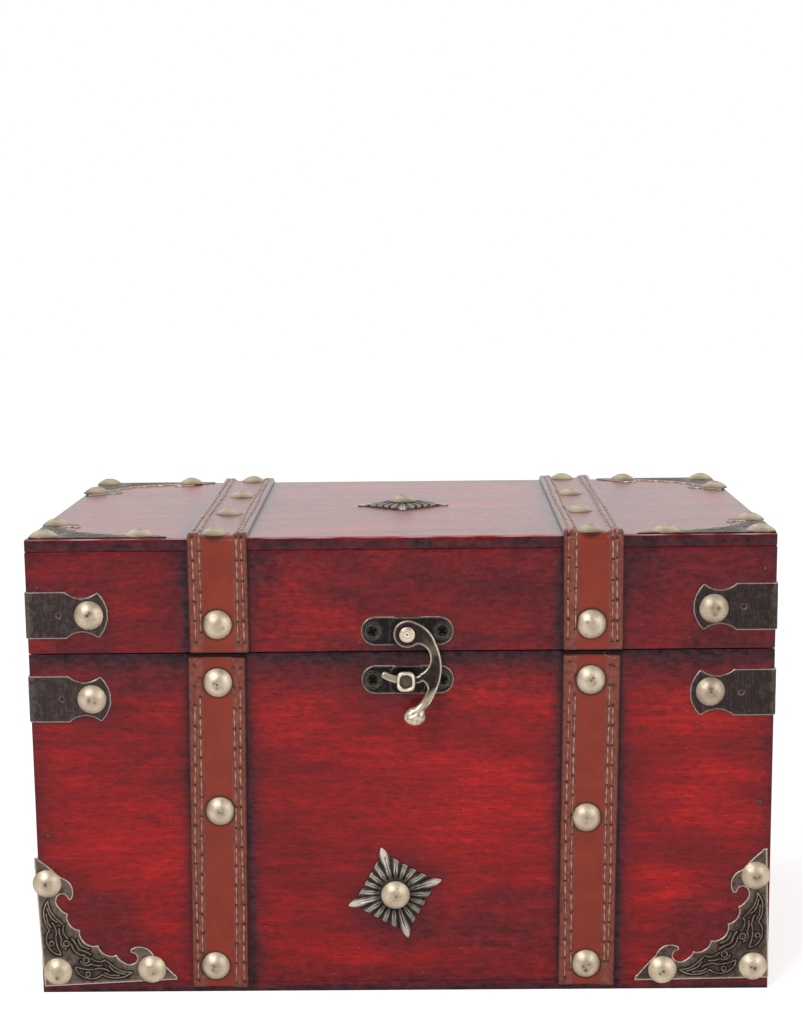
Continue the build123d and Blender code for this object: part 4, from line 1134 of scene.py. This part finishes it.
def latch_plate(node, boss):
    """A plate with round ends: how far a point is outside is its distance from the middle line
    less half the width. A boss rises in the middle with sloping sides."""
    place = on_front(latch_x, middle_of(node)[2])
    half, straight = plate_width / 2, (plate_length - plate_width) / 2

    def outside_hole(u, v):
        return np.hypot(np.abs(u) - plate_hole_place, v) - plate_hole_radius

    def distance(u, v):
        band = np.hypot(np.clip(np.abs(u) - straight, 0, None), v) - half
        return np.maximum(band, -outside_hole(u, v))

    def boss_share(u, v):
        inside = np.minimum(boss_length / 2 - np.abs(u), half - np.abs(v))
        cut = (boss_length / 2 + half - 1.6) - np.abs(u) - np.abs(v)
        return smooth_step(np.minimum(inside, cut), 0, 0.45)

    def top(u, v, depth):
        return plate_thickness + (boss - plate_thickness) * boss_share(u, v) - rounded(depth, 0.32)

    def worn(u, v, depth):
        share = boss_share(u, v)
        crest = 4 * share * (1 - share)
        rim = hump(depth, 0.33) * (1 - 0.8 * hump(outside_hole(u, v), 0.7))
        return 0.85 * rim + 0.22 * crest

    # Painted shadow round the catch post, on the catch plate
    def stain(u, v, depth):
        return 0.55 * fade(np.hypot(u + 0.5, v), 3.2) * (boss == catch_boss)

    shape = cut_sheet(partial(put, place), distance, (-14, 14, -4.6, 4.6), plate_step, top, worn=worn,
                      stain=stain)
    # Black discs in the screw holes, as painted shade round the screws' heads
    sinks = [turned(on_front(latch_x + side * plate_hole_place, place[0][2]),
                    [(0, 0.02), (2.3, 0.02), (2.3, 0.3), (2.24, 0.3), (2.24, 0.04), (0, 0.04)], 32,
                    stain=[1] * 6) for side in (-1, 1)]
    make_piece("cast_" + node, [shape] + sinks, plate_metal, node)


latch_plate("hook_plate", pivot_boss)
latch_plate("catch_plate", catch_boss)

outer_arc_shares = ((0, 0.165), (0.465, 0.101), (0.842, -0.117), (1.000, -0.387), (0.871, -0.677),
                    (0.713, -0.798), (0.426, -0.952))
inner_arc_shares = ((0.200, -0.125), (0.520, -0.168), (0.655, -0.285), (0.600, -0.398), (0.356, -0.492))
under_arc_shares = ((0.277, -0.577), (0.495, -0.609), (0.564, -0.685), (0.386, -0.810), (0.060, -0.903))
pivot_z = middle_of("pivot_rivet")[2]
catch_z = middle_of("catch_plate")[2]
tongue_radius = pivot_z - catch_z
tail_u = 0.07 * hook_drop


def swing_hook():
    """The hook's outline is the union of an eye, an arm between arcs, a tongue that is an arc's
    band, and a round tail: the least of their distances, softened where two meet. Its faces
    are rounded off at the outline, and it bends outwards towards the tail along an S."""
    place = on_front(latch_x, pivot_z)
    arm = np.concatenate([arcs(outer_arc_shares, hook_bow, hook_drop), [(tail_u, -hook_drop)],
                          arcs(under_arc_shares, hook_bow, hook_drop)[::-1],
                          arcs(inner_arc_shares, hook_bow, hook_drop)[::-1], [(0, 0)]])
    arm_distance = outside(arm)
    low_turn, high_turn = math.radians(-28.5), math.radians(14.0)

    def tongue_distance(u, v):
        turn = np.clip(np.arctan2(u, -v), low_turn, high_turn)
        middle_u, middle_v = tongue_radius * np.sin(turn), -tongue_radius * np.cos(turn)
        return np.hypot(u - middle_u, v - middle_v) - tongue_half_width

    def joined(one, two, soft):
        share = np.clip(0.5 + (two - one) / (2 * soft), 0, 1)
        return two + (one - two) * share - soft * share * (1 - share)

    def distance(u, v):
        eye = np.hypot(u, v) - eye_radius
        tail = (np.hypot((u - tail_u - 0.35) / 1.2, v + hook_drop) - tail_radius) * 1.1
        body = joined(joined(eye, arm_distance(u, v), 0.5), tongue_distance(u, v), 0.5)
        return np.maximum(joined(body, tail, 0.9), pivot_hole_radius - np.hypot(u, v))

    def middle_level(v):
        return hook_back + hook_thickness / 2 + tail_rise * smooth_step(-v / hook_drop, 0.64, 0.86)

    def half_thick(u, v, depth):
        bead = hump(np.hypot(u - tail_u - 0.3, v + hook_drop), 3.4)
        half = hook_thickness / 2 + 0.85 * bead
        soft = 0.55 + 1.5 * bead
        cleft = 0.4 * hump(v + hook_drop - 0.55 * (u - tail_u) - 0.9, 0.32)
        return half - rounded(depth, np.minimum(soft, half)) - bead * cleft * smooth_step(depth, 0.2, 0.9)

    def top(u, v, depth):
        return middle_level(v) + half_thick(u, v, depth)

    def bottom(u, v, depth):
        return middle_level(v) - half_thick(u, v, depth)

    def neck_light_and_shade(u, v):
        """Shares of the painted highlight that runs slantwise down across the neck, of the painted shade on
        the side below it, and of the tail."""
        past_band = u - 8.3 - 1.1 * (v + 16.9)
        start, tail = smooth_step(-v, 15.4, 17.0), smooth_step(-v, 20.8, 22.6)
        side = start * smooth_step(past_band, 0.7, 2.0) * (1 - tail)
        return start * hump(past_band, 1.35) * (1 - tail), side, tail

    def worn(u, v, depth):
        edge = hump(depth, 0.38)
        band, _, tail = neck_light_and_shade(u, v)
        tongue = smooth_step(-(u + 0.2), 0.0, 2.5) * (v < -8)
        outer = smooth_step(u - hook_bow * 0.3, 0, 3.0) * edge
        # A faint painted sheen on the arm's upper inner part
        bend = 0.12 * hump(v + 4.5, 2.5) * smooth_step(u, 3.0, 5.5)
        return 0.92 * edge + 0.4 * outer + 0.80 * (band + tail) + 0.34 * tongue + bend

    def stain(u, v, depth):
        mottled = 0.5 + 0.5 * np.sin(2.6 * u + 1.1 * v) * np.sin(1.9 * v - 1.5 * u)
        _, side, tail = neck_light_and_shade(u, v)
        # The tail's right side is darkened as painted shade
        shaded_right = smooth_step(u - tail_u, 0.8, 2.6)
        dark = tail * (0.5 * mottled ** 2 + 0.18 * shaded_right) + 0.75 * side
        return dark * smooth_step(depth, 0.0, 0.4)

    shape = cut_sheet(partial(put, place), distance, (-8.2, 11.2, -28.0, 5.2), hook_step, top, bottom,
                      worn=worn, stain=stain)
    make_piece("cast_swing_hook", [shape], hook_metal, "swing_hook", sharp=60.0)


swing_hook()

rivet_seat = hook_back + hook_thickness + 0.1
rivet_profile = [(0, 0.80), (0.18, 0.84), (0.36, 1.10), (0.95, 1.20), (1.12, 1.15), (1.3, 1.18),
                 (1.7, 1.14), (1.85, 1.06), (2.0, 1.07), (2.25, 0.92), (2.4, 0.55), (2.42, 0.05),
                 (1.1, 0.0), (1.1, -rivet_seat + 0.2), (0, -rivet_seat + 0.2)]
rivet_wear = [0.2, 0.3, 0.85, 0.95, 0.7, 0.9, 0.9, 0.65, 0.9, 0.9, 0.5, 0.1, 0, 0, 0]
rivet_stain = [1.0, 0.8, 0, 0, 0.25, 0, 0, 0.3, 0, 0, 0.2, 0.9, 1, 1, 1]
make_piece("turned_pivot_rivet",
           [turned(on_front(latch_x, pivot_z, rivet_seat), rivet_profile, 36, worn=rivet_wear,
                   stain=rivet_stain)], hook_metal, "pivot_rivet", sharp=50.0)


def catch_post():
    """A head whose outline is a rounded square (a superellipse of the third power), dished in
    the middle, on a round neck that stands below the hook's tongue."""
    post_x = middle_of("catch_post")[0]
    head_back = -half_y - span("catch_post")[0][1] - post_head_thickness
    place = on_front(post_x, catch_z, head_back)
    turns = circle(64)
    reach = 1 / (np.abs(np.cos(turns) / 2.8) ** 3.2 + np.abs(np.sin(turns) / 3.1) ** 3.2) ** (1 / 3.2)
    share = np.array([0, 0.3, 0.5, 0.60, 0.66, 0.71, 0.76, 0.83, 0.90, 0.96, 1.0, 1.0, 0.94, 0.0])
    rise = np.array([0.90, 0.90, 0.88, 0.88, 0.98, 1.10, 1.16, 1.14, 1.04, 0.86, 0.60, 0.2, 0.0, 0.0])
    wear = np.array([0.10, 0.09, 0.07, 0.05, 0.3, 0.80, 1.0, 0.95, 0.8, 0.6, 0.4, 0.3, 0, 0])
    dark = np.array([0, 0, 0.1, 0.45, 0.2, 0, 0, 0, 0, 0, 0.1, 0.4, 0.8, 0.8])
    round_share = smooth_step(share, 0.45, 0.85)[:, None]
    radius = share[:, None] * (reach * round_share + 2.95 * (1 - round_share))
    head = surface(put(place, radius * np.cos(turns), radius * np.sin(turns), rise[:, None] + 0 * turns),
                   worn=wear[:, None], stain=dark[:, None])
    neck = turned(on_front(post_x, pivot_z - tongue_radius - 2.15),
                  [(0, -1.0), (post_neck_radius, -1.0), (post_neck_radius, head_back + 0.1),
                   (0, head_back + 0.1)], 24, worn=[0, 0, 0.3, 0])
    make_piece("cast_catch_post", [head, neck], hook_metal, "catch_post", sharp=50.0)


catch_post()


# ---- Hinges: the CAD leaves and pins are sheet and wire already, and keep their shapes

for node in nodes:
    if node.startswith("hinge_"):
        data = frame["nodes"][node].data
        data.materials.clear()
        data.materials.append(hinge_metal)


# ---- Floor, backdrop, light and camera

paper_white, paper_glow = 0.86, 0.55
sky_light, dark_side, mirror_glow = 0.52, 0.30, 0.5


def plain_white():
    """The paper sweep: matt white that keeps the chest's shadow. The camera, and metal and
    varnish that mirror it, see it lit to white by a glow of its own."""
    material, add = new_material("white_paper")
    path = add("LightPath").node.outputs
    seen = add("Math", (path["Is Glossy Ray"], mirror_glow, path["Is Camera Ray"]),
               operation="MULTIPLY_ADD")
    seen = add("Math", (seen, path["Is Transmission Ray"]), operation="MAXIMUM")
    strength = add("Math", (seen, paper_glow), operation="MULTIPLY")
    paper = add("BsdfDiffuse", {"Color": (paper_white, paper_white, paper_white, 1)})
    glow = add("Emission", {"Color": (1, 1, 1, 1), "Strength": strength})
    add("OutputMaterial", {"Surface": add("AddShader", (paper, glow))})
    return material


floor_size = 4.0
floor_mesh = bpy.data.meshes.new("floor")
floor_mesh.from_pydata([(floor_size * x, floor_size * y, 0) for x, y in ((-1, -1), (1, -1), (1, 1), (-1, 1))],
                       [], [(0, 1, 2, 3)])
floor_mesh.materials.append(plain_white())
floor = bpy.data.objects.new("floor", floor_mesh)
bpy.context.scene.collection.objects.link(floor)

# The sky is white to the camera. Metal and varnish see it white behind the chest and dim in
# front, where the studio is dark; other surfaces are lit by it evenly.
world = bpy.data.worlds.new("studio")
bpy.context.scene.world = world
world.use_nodes = True
world.node_tree.nodes.clear()
add = node_adder(world.node_tree)
path = add("LightPath").node.outputs
backward = add("SeparateXYZ", (add("TexCoord", out="Generated"),), "Y")
mirrored = add("MapRange", (backward, -0.55, 0.35, dark_side, 1.0))
plain = add("Mix", {0: path["Is Glossy Ray"], 2: sky_light, 3: mirrored})
seen = add("Math", (path["Is Camera Ray"], path["Is Transmission Ray"]), operation="MAXIMUM")
strength = add("Mix", {0: seen, 2: plain, 3: 1.0})
add("OutputWorld", {"Surface": add("Background", {"Color": (1, 1, 1, 1), "Strength": strength})})


def lamp(name, place, size, power):
    """A square softbox that faces the middle of the chest's front."""
    light = bpy.data.lights.new(name, "AREA")
    light.size, light.energy = size, power
    made = bpy.data.objects.new(name, light)
    bpy.context.scene.collection.objects.link(made)
    made.location = place
    made.rotation_euler = (Vector((0, 0, 0.06)) - Vector(place)).to_track_quat("-Z", "Y").to_euler()


lamp("key_softbox", (-0.75, -1.25, 1.05), 0.8, 13.0)
lamp("fill_softbox", (1.0, -1.1, 0.6), 0.9, 6.0)

# The camera that was solved from the photograph: where it stands in millimetres, which way it
# looks in radians, and its focal length, axis and height in the photograph's pixels
camera_place = np.array([9.9921, -750.9815, 222.4078])
yaw, pitch, roll = -0.0150626, 0.2100868, -0.0110154
focal_px, axis_px, photo_height = 2311.443, 735.0, 1024
forward = np.array([math.sin(yaw) * math.cos(pitch), math.cos(yaw) * math.cos(pitch), -math.sin(pitch)])
level = np.array([math.cos(yaw), -math.sin(yaw), 0.0])
_, right, up, _ = flat((0, 0, 0), level, np.cross(level, forward), math.degrees(roll))
lens = bpy.data.cameras.new("photo_camera")
lens.sensor_fit = "AUTO"
lens.sensor_width = 36.0
lens.lens = focal_px * lens.sensor_width / photo_height
lens.shift_y = (axis_px - photo_height / 2) / photo_height
lens.clip_start, lens.clip_end = 0.01, 50.0
camera = bpy.data.objects.new("photo_camera", lens)
turn = Matrix(np.stack([right, up, -forward], -1).tolist()).to_4x4()
camera.matrix_world = Matrix.Translation(camera_place * MM) @ turn
bpy.context.scene.collection.objects.link(camera)
bpy.context.scene.camera = camera
bpy.context.scene.view_settings.view_transform = "Standard"
